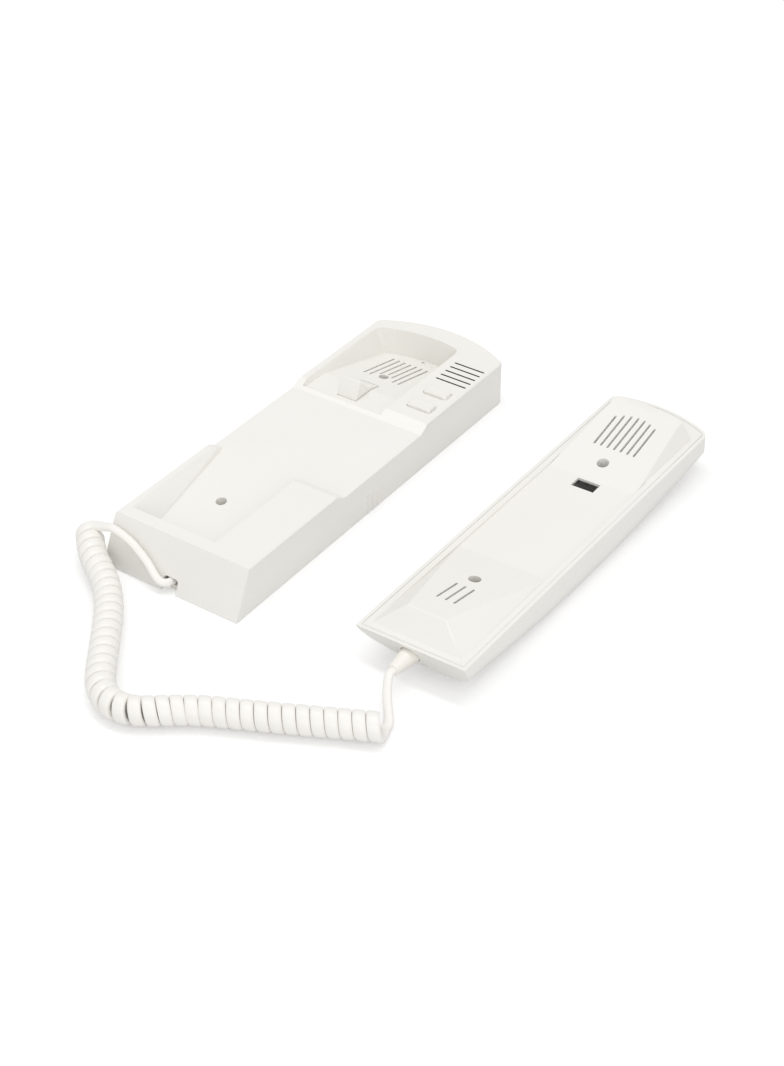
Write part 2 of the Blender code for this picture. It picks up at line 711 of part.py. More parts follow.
def make_wall_plate():
    """The plate that is screwed to the wall; posts for the cover's screws stand on it."""
    lower = (SKIN + GAP) * sqrt(1 + END_SLANT ** 2) + PLATE_THICKNESS * END_SLANT
    plate = prism("wall_plate", base_plan(SKIN + GAP, lower), 0.0, PLATE_THICKNESS, white_abs())
    posts = []
    bores = []
    root = PLATE_THICKNESS / 2
    for x, y, floor in screw_positions():
        top = COVER_SCREW_LEDGE - LEDGE_THICKNESS - GAP
        bore = SCREW_SHANK_RADIUS + GAP
        posts.append(drum("post", (x, to_base(y)), bore + BOSS_WALL, root, top))
        bores.append(drum("post_bore", (x, to_base(y)), bore, PLATE_THICKNESS, top + REACH))
    for side in (-1, 1):
        near = CRADLE_X + side * (HOOK_WIDTH / 2 - HUB_INSET)
        far = near + side * LUG_WALL
        posts.append(block("lug", (min(near, far), to_base(HOOK_PIVOT_Y) - LUG_HALF, root),
                           (max(near, far), to_base(HOOK_PIVOT_Y) + LUG_HALF, HOOK_PIVOT_Z + LUG_TOP)))
    board_low = BOARD_TOP - BOARD_THICKNESS - GAP
    for x, y in board_posts():
        posts.append(drum("board_post", (x, to_base(y)), SKIN, root, board_low, 12))
    add(plate, *posts)
    pin = drum("pin_bore", (0, 0), HOOK_PIN_RADIUS + 0.1 * MM, -HOOK_WIDTH, HOOK_WIDTH, 16)
    axis = Matrix.Translation((CRADLE_X, to_base(HOOK_PIVOT_Y), HOOK_PIVOT_Z))
    pin.data.transform(axis @ Matrix.Rotation(pi / 2, 4, "Y"))
    half = CABLE_WINDOW / 2
    window = block("cable_window", (CRADLE_X - half, to_base(CABLE_WINDOW_Y) - half, -REACH),
                   (CRADLE_X + half, to_base(CABLE_WINDOW_Y) + half, PLATE_THICKNESS + REACH))
    slots = []
    for y in (WALL_SLOT_LOWER_Y, WALL_SLOT_UPPER_Y):
        outline = slot_outline((0, to_base(y)), WALL_SLOT_LENGTH, WALL_SLOT_WIDTH, True, 5)
        slots.append(prism("wall_slot", outline, -REACH, PLATE_THICKNESS + REACH))
    cut(plate, *bores, pin, window, *slots)
    return tidy(plate)


def board_edges():
    """The board's left, right, lower, upper, wing's left and waist's upper edges."""
    left = CRADLE_LEFT + BOARD_INSET
    right = BASE_WIDTH / 2 - SKIN - BOARD_PLAY
    low = TERMINAL_Y - BOARD_MARGIN
    high = UPPER_BUTTON_Y + BUTTON_WIDTH / 2 + BOARD_MARGIN
    wing = CRADLE_RIGHT + SKIN + BOARD_PLAY
    inner = HOOK_SWITCH_Y + SWITCH_HALF + BOARD_PLAY
    return left, right, low, high, wing, inner


def board_posts():
    left, right, low, high, wing, inner = board_edges()
    inset = 5.0 * MM
    return ((left + inset, low + inset), (right - inset, low + inset), (left + inset, inner - inset),
            (right - inset, high - inset / 2))


def make_board():
    """An L-shaped board: terminals in the waist, button switches under the strip."""
    left, right, low, high, wing, inner = board_edges()
    outline = [(left, low), (right, low), (right, high), (wing, high), (wing, inner), (left, inner)]
    outline = [(x, to_base(y)) for x, y in outline]
    board = prism("circuit_board", outline, BOARD_TOP - BOARD_THICKNESS, BOARD_TOP, board_green())
    return tidy(board)


def make_terminal_block():
    """The block of five screw terminals for the line, on the board, with its screws."""
    low = BOARD_TOP + GAP
    pitch = 5.0 * MM
    count = 5
    width = count * pitch
    near = to_base(TERMINAL_Y)
    x0 = CRADLE_X - width / 2
    profile = [(near, low), (near + 8 * MM, low), (near + 8 * MM, low + 6.5 * MM),
               (near + 1.5 * MM, low + 6.5 * MM), (near, low + 4.5 * MM)]
    body = prism_x("terminal_block", profile, x0, x0 + width, board_green())
    wells = []
    middle = near + 4.8 * MM
    radius = 1.7 * MM
    seat = low + 3 * MM
    for i in range(count):
        x = x0 + (i + 0.5) * pitch
        wells.append(drum("well", (x, middle), radius, seat, low + 8 * MM, 14))
        wells.append(block("mouth", (x - 1.5 * MM, near - 1 * MM, low + 0.8 * MM),
                           (x + 1.5 * MM, near + 2 * MM, seat + 0.4 * MM)))
        name = "terminal_screw_%d" % (i + 1)
        screw = drum(name, (x, middle), radius - GAP, seat + GAP, seat + 2.2 * MM, 12, brass())
        slit = block("slit", (x - radius, middle - GAP, seat + 1.6 * MM),
                     (x + radius, middle + GAP, seat + 3 * MM))
        tidy(cut(screw, slit))
    return tidy(cut(body, *wells))


def make_switch(name, x, y, top):
    """A small push switch on the board, whose plunger ends at top."""
    low = BOARD_TOP + GAP
    body = block(name, (x - SWITCH_HALF, y - SWITCH_HALF, low),
                 (x + SWITCH_HALF, y + SWITCH_HALF, low + 3.4 * MM), black_plastic())
    plunger = drum("plunger", (x, y), 1.6 * MM, low + 2 * MM, top, 14)
    return tidy(add(body, plunger))


def make_hook_switch():
    """The switch that the hook lever's arm works."""
    low = BOARD_TOP + GAP
    y = to_base(HOOK_SWITCH_Y)
    body = block("hook_switch", (CRADLE_X - HOOK_WIDTH / 2, y - SWITCH_HALF, low),
                 (CRADLE_X + HOOK_WIDTH / 2, y + SWITCH_HALF, low + 2.2 * MM), black_plastic())
    plunger = drum("plunger", (CRADLE_X, y), 1.0 * MM, low + 1 * MM, low + HOOK_SWITCH_HEIGHT, 12)
    return tidy(add(body, plunger))


def make_speaker():
    top = BASE_HEIGHT - SKIN - GAP
    low = top - SPEAKER_HEIGHT + GAP
    magnet = SPEAKER_RADIUS * 0.5
    rim = SPEAKER_RADIUS - 1.2 * MM
    profile = [(magnet, low - 2.5 * MM), (magnet, low), (rim, low), (SPEAKER_RADIUS, low + 1 * MM),
               (SPEAKER_RADIUS, top), (rim, top), (rim - 1.2 * MM, top - 1.2 * MM),
               (2 * MM, top - 2.4 * MM), (1 * MM, top - 2 * MM)]
    speaker = turned("ringer_speaker", profile, 24, steel())
    speaker.location = (BUTTON_X, to_base(RINGER_Y), 0)
    return tidy(speaker)


def make_button(name, y):
    """A rounded cap with a flange that the cover holds, and a stem for its switch."""

    def outline(extra):
        return rounded_box_outline((0, 0), BUTTON_LENGTH + 2 * extra, BUTTON_WIDTH + 2 * extra,
                                   BUTTON_CORNER + min(extra, 0.0) / 2)

    outer = outline(0.0)
    crown = outline(-BUTTON_CROWN)
    flange = outline(BUTTON_FLANGE)
    under = BASE_HEIGHT - SKIN - GAP
    top = BASE_HEIGHT + BUTTON_PROUD
    levels = [(flange, under - BUTTON_FLANGE), (flange, under), (outer, under),
              (outer, top - BUTTON_CROWN), (crown, top)]
    cap = rings(name, [[(x, yy, z) for x, yy in loop] for loop, z in levels], white_abs())
    stem_low = BOARD_TOP + GAP + 5.0 * MM
    stem = drum("stem", (0, 0), 1.6 * MM, stem_low, under - BUTTON_FLANGE / 2, 14)
    add(cap, stem)
    cap.location = (BUTTON_X, to_base(y), 0)
    tidy(cap)
    return cap, stem_low


def make_screw(name, head_radius, seat, length, look):
    """A cross-recess screw whose head rests a gap above its seat at z = seat."""
    low = seat + GAP
    shank = SCREW_SHANK_RADIUS
    profile = [(shank * 0.5, low - length), (shank, low - length + 1 * MM), (shank, low),
               (head_radius, low), (head_radius, low + SCREW_HEAD_HEIGHT * 0.55),
               (head_radius * 0.55, low + SCREW_HEAD_HEIGHT)]
    screw = turned(name, profile, 16, look)
    wide = head_radius * 0.6
    thin = 0.35 * MM
    deep = low + SCREW_HEAD_HEIGHT * 0.4
    high = low + SCREW_HEAD_HEIGHT + REACH
    cross = add(block("cross_a", (-wide, -thin, deep), (wide, thin, high)),
                block("cross_b", (-thin, -wide, deep), (thin, wide, high - REACH / 4)))
    return tidy(cut(screw, cross))


def make_cover_screw(name, position):
    x, y, floor = position
    length = COVER_SCREW_LEDGE - PLATE_THICKNESS - 0.6 * MM
    screw = make_screw(name, COVER_HOLE_RADIUS - HEAD_PLAY, COVER_SCREW_LEDGE, length, steel())
    screw.location = (x, to_base(y), 0)
    return screw


def make_hook():
    """The lever: a tooth that stands in the handset's window, a hub and an arm to the switch."""
    half = HOOK_WIDTH / 2
    front = HOOK_FRONT_Y - HOOK_PIVOT_Y
    back = HOOK_BACK_Y - HOOK_PIVOT_Y
    nose = HOOK_TIP_Y - HOOK_PIVOT_Y
    tip = HOOK_TIP_Z - HOOK_PIVOT_Z
    waist = WAIST_Z - HOOK_PIVOT_Z
    low = LUG_TOP + LUG_HALF * tan(radians(HOOK_SWING)) + GAP
    tooth = [(front + TOOTH_BEVEL, low), (back - 2 * SKIN, low), (back, waist - SKIN),
             (back, waist - TOOTH_BEVEL), (nose + TOOTH_BROW_LENGTH, waist + TOOTH_BROW_HEIGHT),
             (nose + 2 * HOOK_TIP_WIDTH, tip - TOOTH_BEVEL), (nose + HOOK_TIP_WIDTH, tip),
             (nose, tip), (front, waist)]
    lever = prism_x("hook_lever", tooth, -half, half, white_abs())
    web = half - HUB_INSET - GAP
    hub = drum("hub", (0, 0), HUB_RADIUS, -web, web, 20)
    hub.data.transform(Matrix.Rotation(pi / 2, 4, "Y"))
    near = HUB_RADIUS * 0.85
    root = low + SKIN / 2
    stem = prism_x("stem", [(-near, 0), (near, 0), (near * 0.7, root), (-near * 2, root)],
                   -web + GAP, web - GAP)
    reach = HOOK_SWITCH_Y - HOOK_PIVOT_Y - BOARD_PLAY
    lift = (HOOK_PIVOT_Y - HOOK_SWITCH_Y) * tan(radians(HOOK_SWING))
    rest = BOARD_TOP + HOOK_SWITCH_HEIGHT - HOOK_PIVOT_Z + lift + 2 * GAP
    bend = HOOK_SWITCH_Y - HOOK_PIVOT_Y + 8 * MM
    arm = prism_x("arm", [(0, GAP), (-SKIN, low + GAP), (reach, rest + ARM_THICKNESS), (reach, rest),
                          (bend, rest - 1.0 * MM), (-HUB_RADIUS - GAP, -1.0 * MM)],
                  -ARM_HALF_WIDTH, ARM_HALF_WIDTH)
    add(lever, hub, stem, arm)
    bore = drum("bore", (0, 0), HOOK_PIN_RADIUS + 0.1 * MM, -half - REACH, half + REACH, 16)
    bore.data.transform(Matrix.Rotation(pi / 2, 4, "Y"))
    cut(lever, bore)
    lever.location = (CRADLE_X, to_base(HOOK_PIVOT_Y), HOOK_PIVOT_Z)
    return tidy(lever)


def make_hook_pin():
    half = HOOK_WIDTH / 2 + 1.0 * MM
    pin = drum("hook_pin", (0, 0), HOOK_PIN_RADIUS, -half, half, 16, steel())
    pin.data.transform(Matrix.Rotation(pi / 2, 4, "Y"))
    pin.location = (CRADLE_X, to_base(HOOK_PIVOT_Y), HOOK_PIVOT_Z)
    return tidy(pin)


def make_cord_grip():
    """The grip block behind the notch, screwed down over the cord."""
    near = to_base(GRIP_Y)
    low = PLATE_THICKNESS + GAP
    high = low + 4.4 * MM
    half = 6 * MM
    depth = 7 * MM
    groove = 0.8 * MM
    grip = block("cord_grip", (NOTCH_X - half, near, low), (NOTCH_X + half, near + depth, high),
                 white_abs())
    grooves = []
    for y in (near + depth * 0.3 - groove / 2, near + depth * 0.7 - groove / 2):
        grooves.append(block("groove", (NOTCH_X - half - REACH, y, high - groove),
                             (NOTCH_X + half + REACH, y + groove, high + REACH)))
    return tidy(cut(grip, *grooves))


# ---- handset ---------------------------------------------------------------------
def crown_depth(across, along, inset=0.0):
    """Depth of the back below the face, at a distance from its sloped side."""
    width = HANDSET_WIDTH - 2 * inset
    ridge = CROWN_SIDE - inset
    lower_run = CROWN_MIDDLE
    upper_run = handset_end(0.0) - CROWN_MIDDLE
    if along < CROWN_MIDDLE:
        deep = DEPTH_MIDDLE - (DEPTH_MIDDLE - DEPTH_LOWER) * ((CROWN_MIDDLE - along) / lower_run) ** 2
    else:
        deep = DEPTH_MIDDLE - (DEPTH_MIDDLE - DEPTH_UPPER) * ((along - CROWN_MIDDLE) / upper_run) ** 2
    if across < ridge:
        share = (ridge - across) / ridge
        power = CROWN_SOFT
    else:
        share = (across - ridge) / (width - ridge)
        power = CROWN_HARD - (CROWN_HARD - CROWN_HARD_END) * max(0.0, 1 - max(0.0, along) / CROWN_RUN)
    round_over = max(0.0, 1 - min(1.0, share) ** power) ** (1 / power)
    return RIM_EDGE + (deep - inset - RIM_EDGE) * round_over


def handset_end(x, inset=0.0):
    """The arched upper end of the handset, with its round corners."""
    half = HANDSET_WIDTH / 2 - inset
    radius = ARCH_RADIUS - inset
    y = HANDSET_ARCH[1] + sqrt(radius ** 2 - (x - HANDSET_ARCH[0]) ** 2)
    corner = HANDSET_CORNER - inset
    from_edge = half - abs(x)
    if from_edge < corner:
        y -= corner - sqrt(max(0.0, corner ** 2 - (corner - from_edge) ** 2))
    return y


def crown_stations(inset, count=22):
    """Distances across the handset, closer together where its back turns."""
    width = HANDSET_WIDTH - 2 * inset
    ridge = CROWN_SIDE - inset
    left = [ridge * (1 - cos(pi / 2 * i / (count // 2))) for i in range(count // 2)]
    right = [ridge + (width - ridge) * sin(pi / 2 * i / (count - count // 2)) ** 0.75
             for i in range(count - count // 2 + 1)]
    return left + right


def back_solid(name, inset=0.0, top=0.0, lengths=12):
    """The handset's crowned body, or what fills its inside when inset."""
    half = HANDSET_WIDTH / 2 - inset
    across = crown_stations(inset)
    columns = len(across)
    upper = []
    lower = []
    for j in range(lengths + 1):
        share = j / lengths
        share = share + 0.12 * sin(2 * pi * share) / -pi
        for distance in across:
            x = distance - half
            end = handset_end(x, inset)
            start = inset - HANDSET_LIP
            middle = start + share * (end - start)
            deep = crown_depth(distance, middle, inset)
            lean = END_SLANT * deep * (1 - share)
            upper.append((x, middle - END_SLANT * top * (1 - share), top))
            lower.append((x, middle + lean, -deep))
    vertices = upper + lower
    offset = len(upper)
    faces = []
    for j in range(lengths):
        for i in range(columns - 1):
            a = j * columns + i
            b = a + 1
            c = b + columns
            d = a + columns
            faces.append((a, b, c, d))
            faces.append((offset + a, offset + d, offset + c, offset + b))
        for i in (0, columns - 1):
            a = j * columns + i
            d = a + columns
            faces.append((a, d, offset + d, offset + a))
    for j in (0, lengths):
        for i in range(columns - 1):
            a = j * columns + i
            faces.append((a, a + 1, offset + a + 1, offset + a))
    return triangulate_concave(solid(name, vertices, faces))


def make_handset_back():
    back = back_solid("handset_back")
    back.data.materials.append(white_abs())
    cut(back, back_solid("inside", HANDSET_LIP, REACH))
    tidy(back, 0.3)
    posts = []
    bores = []
    bore = SCREW_SHANK_RADIUS + GAP
    for y in (MOUTH_SCREW_Y, EAR_SCREW_Y):
        place = (FACE_DETAIL_X, y)
        top = HANDSET_SCREW_LEDGE - LEDGE_THICKNESS - GAP
        low = -crown_depth(HANDSET_WIDTH / 2 + FACE_DETAIL_X, y) + HANDSET_LIP / 2
        posts.append(drum("post", place, bore + BOSS_WALL, low, top))
        bores.append(drum("post_bore", place, bore, low + REACH, top + REACH))
    add(back, *posts)
    cut(back, *bores)
    cut(back, boot_clearance(BOOT_ROOT_RADIUS, -BOOT_LENGTH, BOOT_LENGTH))
    cut(back, boot_clearance(BOOT_COLLAR_RADIUS, boot_collar()[0], BOOT_LENGTH))
    return tidy(back, 0.3)


def bump_point(x, radius):
    return BUMP_ARCH[1] + sqrt(radius ** 2 - (x - BUMP_ARCH[0]) ** 2)


def mouth_bump(shrink=0.0):
    """The raised mouthpiece: a hipped form with a sloping plate and three sides."""
    root = -SKIN
    foot = FACE_HALF - MOUTH_FOOT_INSET - shrink
    ridge = MOUTH_RIDGE_HALF - shrink * 0.6
    rise = MOUTH_RIDGE_RISE - shrink
    low = FACE_RECESS + shrink
    end = FACE_HALF - shrink
    top = [(-foot, MOUTH_FOOT + shrink, -shrink), (foot, MOUTH_FOOT + shrink, -shrink),
           (end, MOUTH_TAPER_END, -low), (-end, MOUTH_TAPER_END, -low),
           (-ridge, MOUTH_RIDGE_Y + shrink * 0.6, rise), (ridge, MOUTH_RIDGE_Y + shrink * 0.6, rise)]
    under = [(x, y, root - shrink - REACH * (1 if shrink else 0)) for x, y, z in top[:4]]
    vertices = top + under
    faces = [(0, 1, 5, 4), (1, 2, 5), (0, 4, 3), (4, 5, 2, 3), (6, 9, 8, 7),
             (0, 6, 7, 1), (1, 7, 8, 2), (2, 8, 9, 3), (3, 9, 6, 0)]
    return triangulate_concave(solid("mouth_bump", vertices, faces))


def ear_bump(shrink=0.0, columns=9):
    """The raised earpiece: a sloping plate that rounds over to an arched end."""
    root = -SKIN - shrink - REACH * (1 if shrink else 0)
    half = FACE_HALF - shrink
    crest_half = EAR_CREST_HALF - shrink * 0.6
    start = EAR_TAPER_START
    level = -FACE_RECESS - shrink

    def ring(spread, inset, height):
        row = []
        for i in range(columns):
            x = spread * (2 * i / (columns - 1) - 1)
            y = bump_point(x, BUMP_RADIUS - inset - shrink)
            row.append((x, y, height(x, y)))
        return row

    crease = ring(crest_half, EAR_CREASE_INSET, lambda x, y: level + EAR_RISE * (y - start))
    shoulder = ring(crest_half + 0.6 * MM, EAR_SHOULDER_INSET, lambda x, y: EAR_CREST_RISE - GAP - shrink)
    foot = [(x, y + EAR_FOOT_SWEEP * (x / half + 1) / 2, z)
            for x, y, z in ring(half, 0.0, lambda x, y: -shrink)]
    under = [(x, y, root) for x, y, z in foot]
    base_left = (-half, start, level)
    base_right = (half, start, level)
    vertices = [base_left, base_right, (-half, start, root), (half, start, root)]
    vertices += crease + shoulder + foot + under
    c, s, f, u = 4, 4 + columns, 4 + 2 * columns, 4 + 3 * columns
    faces = [tuple([0, 1] + [c + columns - 1 - i for i in range(columns)])]
    for low, high in ((c, s), (s, f), (f, u)):
        for i in range(columns - 1):
            faces.append((low + i, low + i + 1, high + i + 1, high + i))
    faces.append((0, c, s, f))
    faces.append((1, f + columns - 1, s + columns - 1, c + columns - 1))
    faces.append((0, f, u, 2))
    faces.append((1, 3, u + columns - 1, f + columns - 1))
    faces.append((0, 2, 3, 1))
    faces.append(tuple([3, 2] + [u + i for i in range(columns)]))
    return triangulate_concave(solid("ear_bump", vertices, faces))


def plate_height(y):
    """Height of the handset's inner face on its middle line."""
    if y < MOUTH_TAPER_END:
        fall = (MOUTH_RIDGE_RISE + FACE_RECESS) / (MOUTH_TAPER_END - MOUTH_RIDGE_Y)
        return -FACE_RECESS + fall * (MOUTH_TAPER_END - y)
    return -FACE_RECESS + EAR_RISE * max(0.0, y - EAR_TAPER_START)


def handset_screws():
    return (("handset_screw_lower", MOUTH_SCREW_Y), ("handset_screw_upper", EAR_SCREW_Y))


def boot_clearance(radius, near, far):
    """A cylinder along the boot's axis, between two distances along the handset."""
    drill = drum("boot_clearance", (0, 0), radius + GAP, -far, -near, 24)
    drill.data.transform(Matrix.Translation((BOOT_X, 0, -BOOT_DEPTH)) @ Matrix.Rotation(pi / 2, 4, "X"))
    return drill


def make_handset_front():
    levels = []
    for z, inset in ((-SKIN, HANDSET_LIP + 2.5 * GAP), (0.0, HANDSET_LIP + GAP)):
        half = HANDSET_WIDTH / 2 - inset
        plan = arched_outline(-half, half, inset - HANDSET_LIP - z * END_SLANT, HANDSET_ARCH,
                              ARCH_RADIUS - inset, HANDSET_CORNER - inset / 2)
        levels.append([(x, y, z) for x, y in plan])
    front = rings("handset_front", levels, white_abs())
    far = EAR_TAPER_START + 10 * MM
    profile = [(MOUTH_FOOT, 0), (MOUTH_TAPER_END, -FACE_RECESS), (far, -FACE_RECESS), (far, REACH),
               (MOUTH_FOOT, REACH)]
    cut(front, prism_x("recess", profile, -FACE_HALF, FACE_HALF))
    add(front, mouth_bump(), ear_bump())
    cut(front, mouth_bump(SKIN * 0.8), ear_bump(SKIN * 0.8))

    bosses = []
    bores = []
    for name, y in handset_screws():
        face = plate_height(y)
        ledge = HANDSET_SCREW_LEDGE - LEDGE_THICKNESS
        place = (FACE_DETAIL_X, y)
        bosses.append(drum("boss", place, HANDSET_HOLE_RADIUS + BOSS_WALL, ledge, face - SKIN / 2, 24))
        bores.append(drum("bore", place, HANDSET_HOLE_RADIUS, HANDSET_SCREW_LEDGE, face + REACH * 2, 24))
        bores.append(drum("shank_bore", place, SCREW_SHANK_RADIUS + GAP, ledge - REACH,
                          HANDSET_SCREW_LEDGE + REACH / 2))
    add(front, *bosses)
    cut(front, *bores)
    length = WINDOW_LENGTH / 2
    width = WINDOW_WIDTH / 2
    window = block("window", (-length, WINDOW_Y - width, -SKIN - REACH * 3),
                   (length, WINDOW_Y + width, REACH))
    slots = handset_slots(EAR_SLOTS, EAR_SLOT_PITCH, EAR_SLOT_START, EAR_SLOT_LENGTH,
                          FACE_DETAIL_X, EAR_SLOT_BOW)
    slots += handset_slots(MOUTH_SLOTS, MOUTH_SLOT_PITCH, MOUTH_SLOT_START, MOUTH_SLOT_LENGTH)
    collar = boot_clearance(BOOT_COLLAR_RADIUS, -BOOT_LENGTH, BOOT_LENGTH)
    cut(front, window, collar, merged("slots", slots))
    return tidy(front)


def handset_slots(count, pitch, start, length, middle=0.0, bow=0.0):
    """Slots along the handset; with a bow their upper ends follow its arch."""
    cutters = []
    for i in range(count):
        away = (i - (count - 1) / 2) * pitch
        x = middle + away
        end = start + length - bow * away ** 2 / (2 * BUMP_RADIUS)
        low = min(plate_height(start), plate_height(end)) - SKIN - REACH
        high = max(plate_height(start), plate_height(end)) + REACH
        outline = slot_outline((x, (start + end) / 2), end - start, SLOT_WIDTH, False, 2)
        cutters.append(prism("slot", outline, low, high))
    return cutters


def boot_collar():
    """Where the boot's collar begins and ends along the handset, inside its end wall."""
    near = END_SLANT * (BOOT_DEPTH + BOOT_COLLAR_RADIUS) + 3 * GAP
    return near, near + COLLAR_THICKNESS


def make_boot():
    """The strain relief: a tapered sleeve with a collar inside the shell."""
    root_y = END_SLANT * BOOT_DEPTH
    collar = BOOT_COLLAR_RADIUS
    near, far = boot_collar()
    near += GAP
    far += GAP
    tip = root_y - BOOT_LENGTH
    profile = [(WIRE_DIAMETER / 2, -far), (collar, -far), (collar, -near), (BOOT_ROOT_RADIUS, -near),
               (BOOT_ROOT_RADIUS, REACH - root_y), (BOOT_TIP_RADIUS, -tip - GAP),
               (BOOT_TIP_RADIUS - GAP, -tip)]
    boot = turned("handset_boot", profile, 24, white_pvc())
    boot.data.transform(Matrix.Rotation(pi / 2, 4, "X"))
    boot.data.transform(Matrix.Translation((BOOT_X, 0, -BOOT_DEPTH)))
    return tidy(boot), (BOOT_X, tip, -BOOT_DEPTH)


def make_earpiece():
    """The receiver capsule, parallel to the sloping plate just under it."""
    tilt = atan2(EAR_RISE, 1)
    middle = EAR_SLOT_START + EAR_SLOT_LENGTH / 2
    magnet = EARPIECE_RADIUS * 0.45
    profile = [(magnet, -EARPIECE_HEIGHT - 1.5 * MM), (magnet, -EARPIECE_HEIGHT),
               (EARPIECE_RADIUS, -EARPIECE_HEIGHT), (EARPIECE_RADIUS, -0.8 * MM),
               (EARPIECE_RADIUS - 0.8 * MM, 0)]
    capsule = turned("earpiece_capsule", profile, 28, steel())
    drop = (SKIN * 0.8 + GAP) / cos(tilt)
    capsule.data.transform(Matrix.Rotation(tilt, 4, "X"))
    capsule.location = (0, middle, plate_height(middle) - drop)
    return tidy(capsule)


def make_microphone():
    """The microphone capsule in its rubber sleeve, under the mouthpiece plate."""
    middle = MOUTH_SLOT_START + MOUTH_SLOT_LENGTH / 2
    tilt = -atan2(MOUTH_RIDGE_RISE + FACE_RECESS, MOUTH_TAPER_END - MOUTH_RIDGE_Y)
    drop = (SKIN * 0.8 + GAP) / cos(tilt)
    pose = Matrix.Translation((0, middle, plate_height(middle) - drop)) @ Matrix.Rotation(tilt, 4, "X")
    radius = MICROPHONE_RADIUS
    low = -MICROPHONE_HEIGHT
    profile = [(radius, low), (radius, -GAP), (radius - 2 * GAP, 0)]
    capsule = turned("microphone_capsule", profile, 20, steel())
    capsule.data.transform(pose)
    centre = (0, 0)
    sleeve = drum("microphone_sleeve", centre, radius + 5 * GAP, low - REACH, 0, 20, foam())
    hole = drum("hole", centre, radius + GAP, low - 2 * REACH, REACH, 20)
    cut(sleeve, hole)
    sleeve.data.transform(pose)
    return tidy(capsule), tidy(sleeve)


def make_handset_screw(name, y):
    screw = make_screw(name, HANDSET_HOLE_RADIUS - HEAD_PLAY, HANDSET_SCREW_LEDGE,
                       HANDSET_SCREW_LENGTH, steel())
    screw.location = (FACE_DETAIL_X, y, 0)
    return screw


# ---- cord ------------------------------------------------------------------------
# The coil's middle line on the table and the two plain ends, as chosen points (mm).
COIL_ROUTE = (
    (-44.4, 3.0, 9.0), (-38.2, -3.4, 8.2), (-31.6, -8.2, 7.2), (-22.4, -13.4, 6.5),
    (-12.4, -21.9, 6.3), (-3.6, -32.4, 6.3), (3.8, -42.8, 6.3), (11.4, -53.2, 6.3),
    (16.8, -60.8, 6.3), (23.0, -67.2, 6.3), (31.0, -70.6, 6.3), (39.0, -69.8, 6.3),
    (46.2, -65.0, 6.3), (53.0, -59.6, 6.3), (59.8, -54.9, 6.3), (68.4, -50.4, 6.3),
    (81.6, -44.1, 6.3), (94.8, -37.4, 6.3), (108.4, -30.4, 6.3), (122.0, -23.9, 6.7))
BASE_TAIL = (
    (-0.9, 0.6, 3.9), (-3.6, -1.2, 4.6), (-7.0, -0.6, 6.9), (-10.3, 0.9, 9.2),
    (-16.6, 2.4, 12.6), (-22.4, 3.5, 15.0), (-28.6, 4.1, 16.4))
LEAD_IN = ((-35.6, 4.2, 16.0), (-38.8, 4.1, 15.0))
HANDSET_TAIL = ((120.9, -16.4, 2.9), (117.4, -12.0, 4.1), (113.6, -7.7, 6.4))


def smooth(points, spacing):
    """Even points along a smooth curve that the chosen points steer; it starts and ends on them."""
    knots = [Vector(p) for p in points]
    knots = [knots[0] * 2 - knots[1]] + knots + [knots[-1] * 2 - knots[-2]]
    fine = []
    steps = 24
    for i in range(1, len(knots) - 2):
        a, b, c, d = knots[i - 1:i + 3]
        for k in range(steps):
            t = k / steps
            fine.append((a * (1 - t) ** 3 + b * (3 * t ** 3 - 6 * t * t + 4)
                         + c * (1 + 3 * t + 3 * t * t - 3 * t ** 3) + d * t ** 3) / 6)
    fine.append(knots[-2].copy())
    lengths = [0.0]
    for one, two in zip(fine, fine[1:]):
        lengths.append(lengths[-1] + (two - one).length)
    count = max(2, round(lengths[-1] / spacing))
    wanted = np.linspace(0, lengths[-1], count + 1)
    flat = [np.interp(wanted, lengths, [p[k] for p in fine]) for k in range(3)]
    return [Vector(p) for p in zip(*flat)], lengths[-1]


def base_point(p):
    """A chosen point in mm, given from the base's lower end, in the part's metres."""
    return Vector((p[0] * MM, to_base(p[1] * MM), p[2] * MM))


def coil_points():
    """The curls: a helix about the coil's middle line, of one even pitch."""
    middle, length = smooth([base_point(p) for p in COIL_ROUTE], 0.5 * MM)
    total = round(CURLS * POINTS_PER_CURL)
    points = []
    for k in range(total + 1):
        share = k / total
        place = share * (len(middle) - 1)
        i = min(int(place), len(middle) - 2)
        centre = middle[i].lerp(middle[i + 1], place - i)
        ahead = middle[min(i + 4, len(middle) - 1)]
        behind = middle[max(i - 3, 0)]
        axis = (ahead - behind).normalized()
        side = axis.cross(Vector((0, 0, 1))).normalized()
        up = side.cross(axis)
        turn = 2 * pi * CURLS * share
        points.append(centre + COIL_RADIUS * (cos(turn) * up + sin(turn) * side))
    return points, length


def end_direction(first, second, third):
    """The direction in which a wire leaves its last point, read from its last three."""
    return (first * 1.5 - second * 2 + third * 0.5).normalized()


def tube(name, points, look, resolution):
    curve = bpy.data.curves.new(name, "CURVE")
    curve.dimensions = "3D"
    curve.bevel_depth = WIRE_DIAMETER / 2
    curve.bevel_resolution = resolution
    curve.use_fill_caps = True
    line = curve.splines.new("POLY")
    line.points.add(len(points) - 1)
    for point, place in zip(line.points, points):
        point.co = (*place, 1.0)
    obj = bpy.data.objects.new(name, curve)
    bpy.context.scene.collection.objects.link(obj)
    curve.materials.append(look)
    return obj


def least_gap(points):
    """Least distance between the tube's surface and another turn of itself."""
    place = np.array([tuple(p) for p in points])
    skip = POINTS_PER_CURL * 2 // 3
    least = 1.0
    for i in range(0, len(place) - skip):
        reach = np.linalg.norm(place[i + skip:i + skip + 4 * POINTS_PER_CURL] - place[i], axis=1)
        least = min(least, reach.min())
    return least - WIRE_DIAMETER


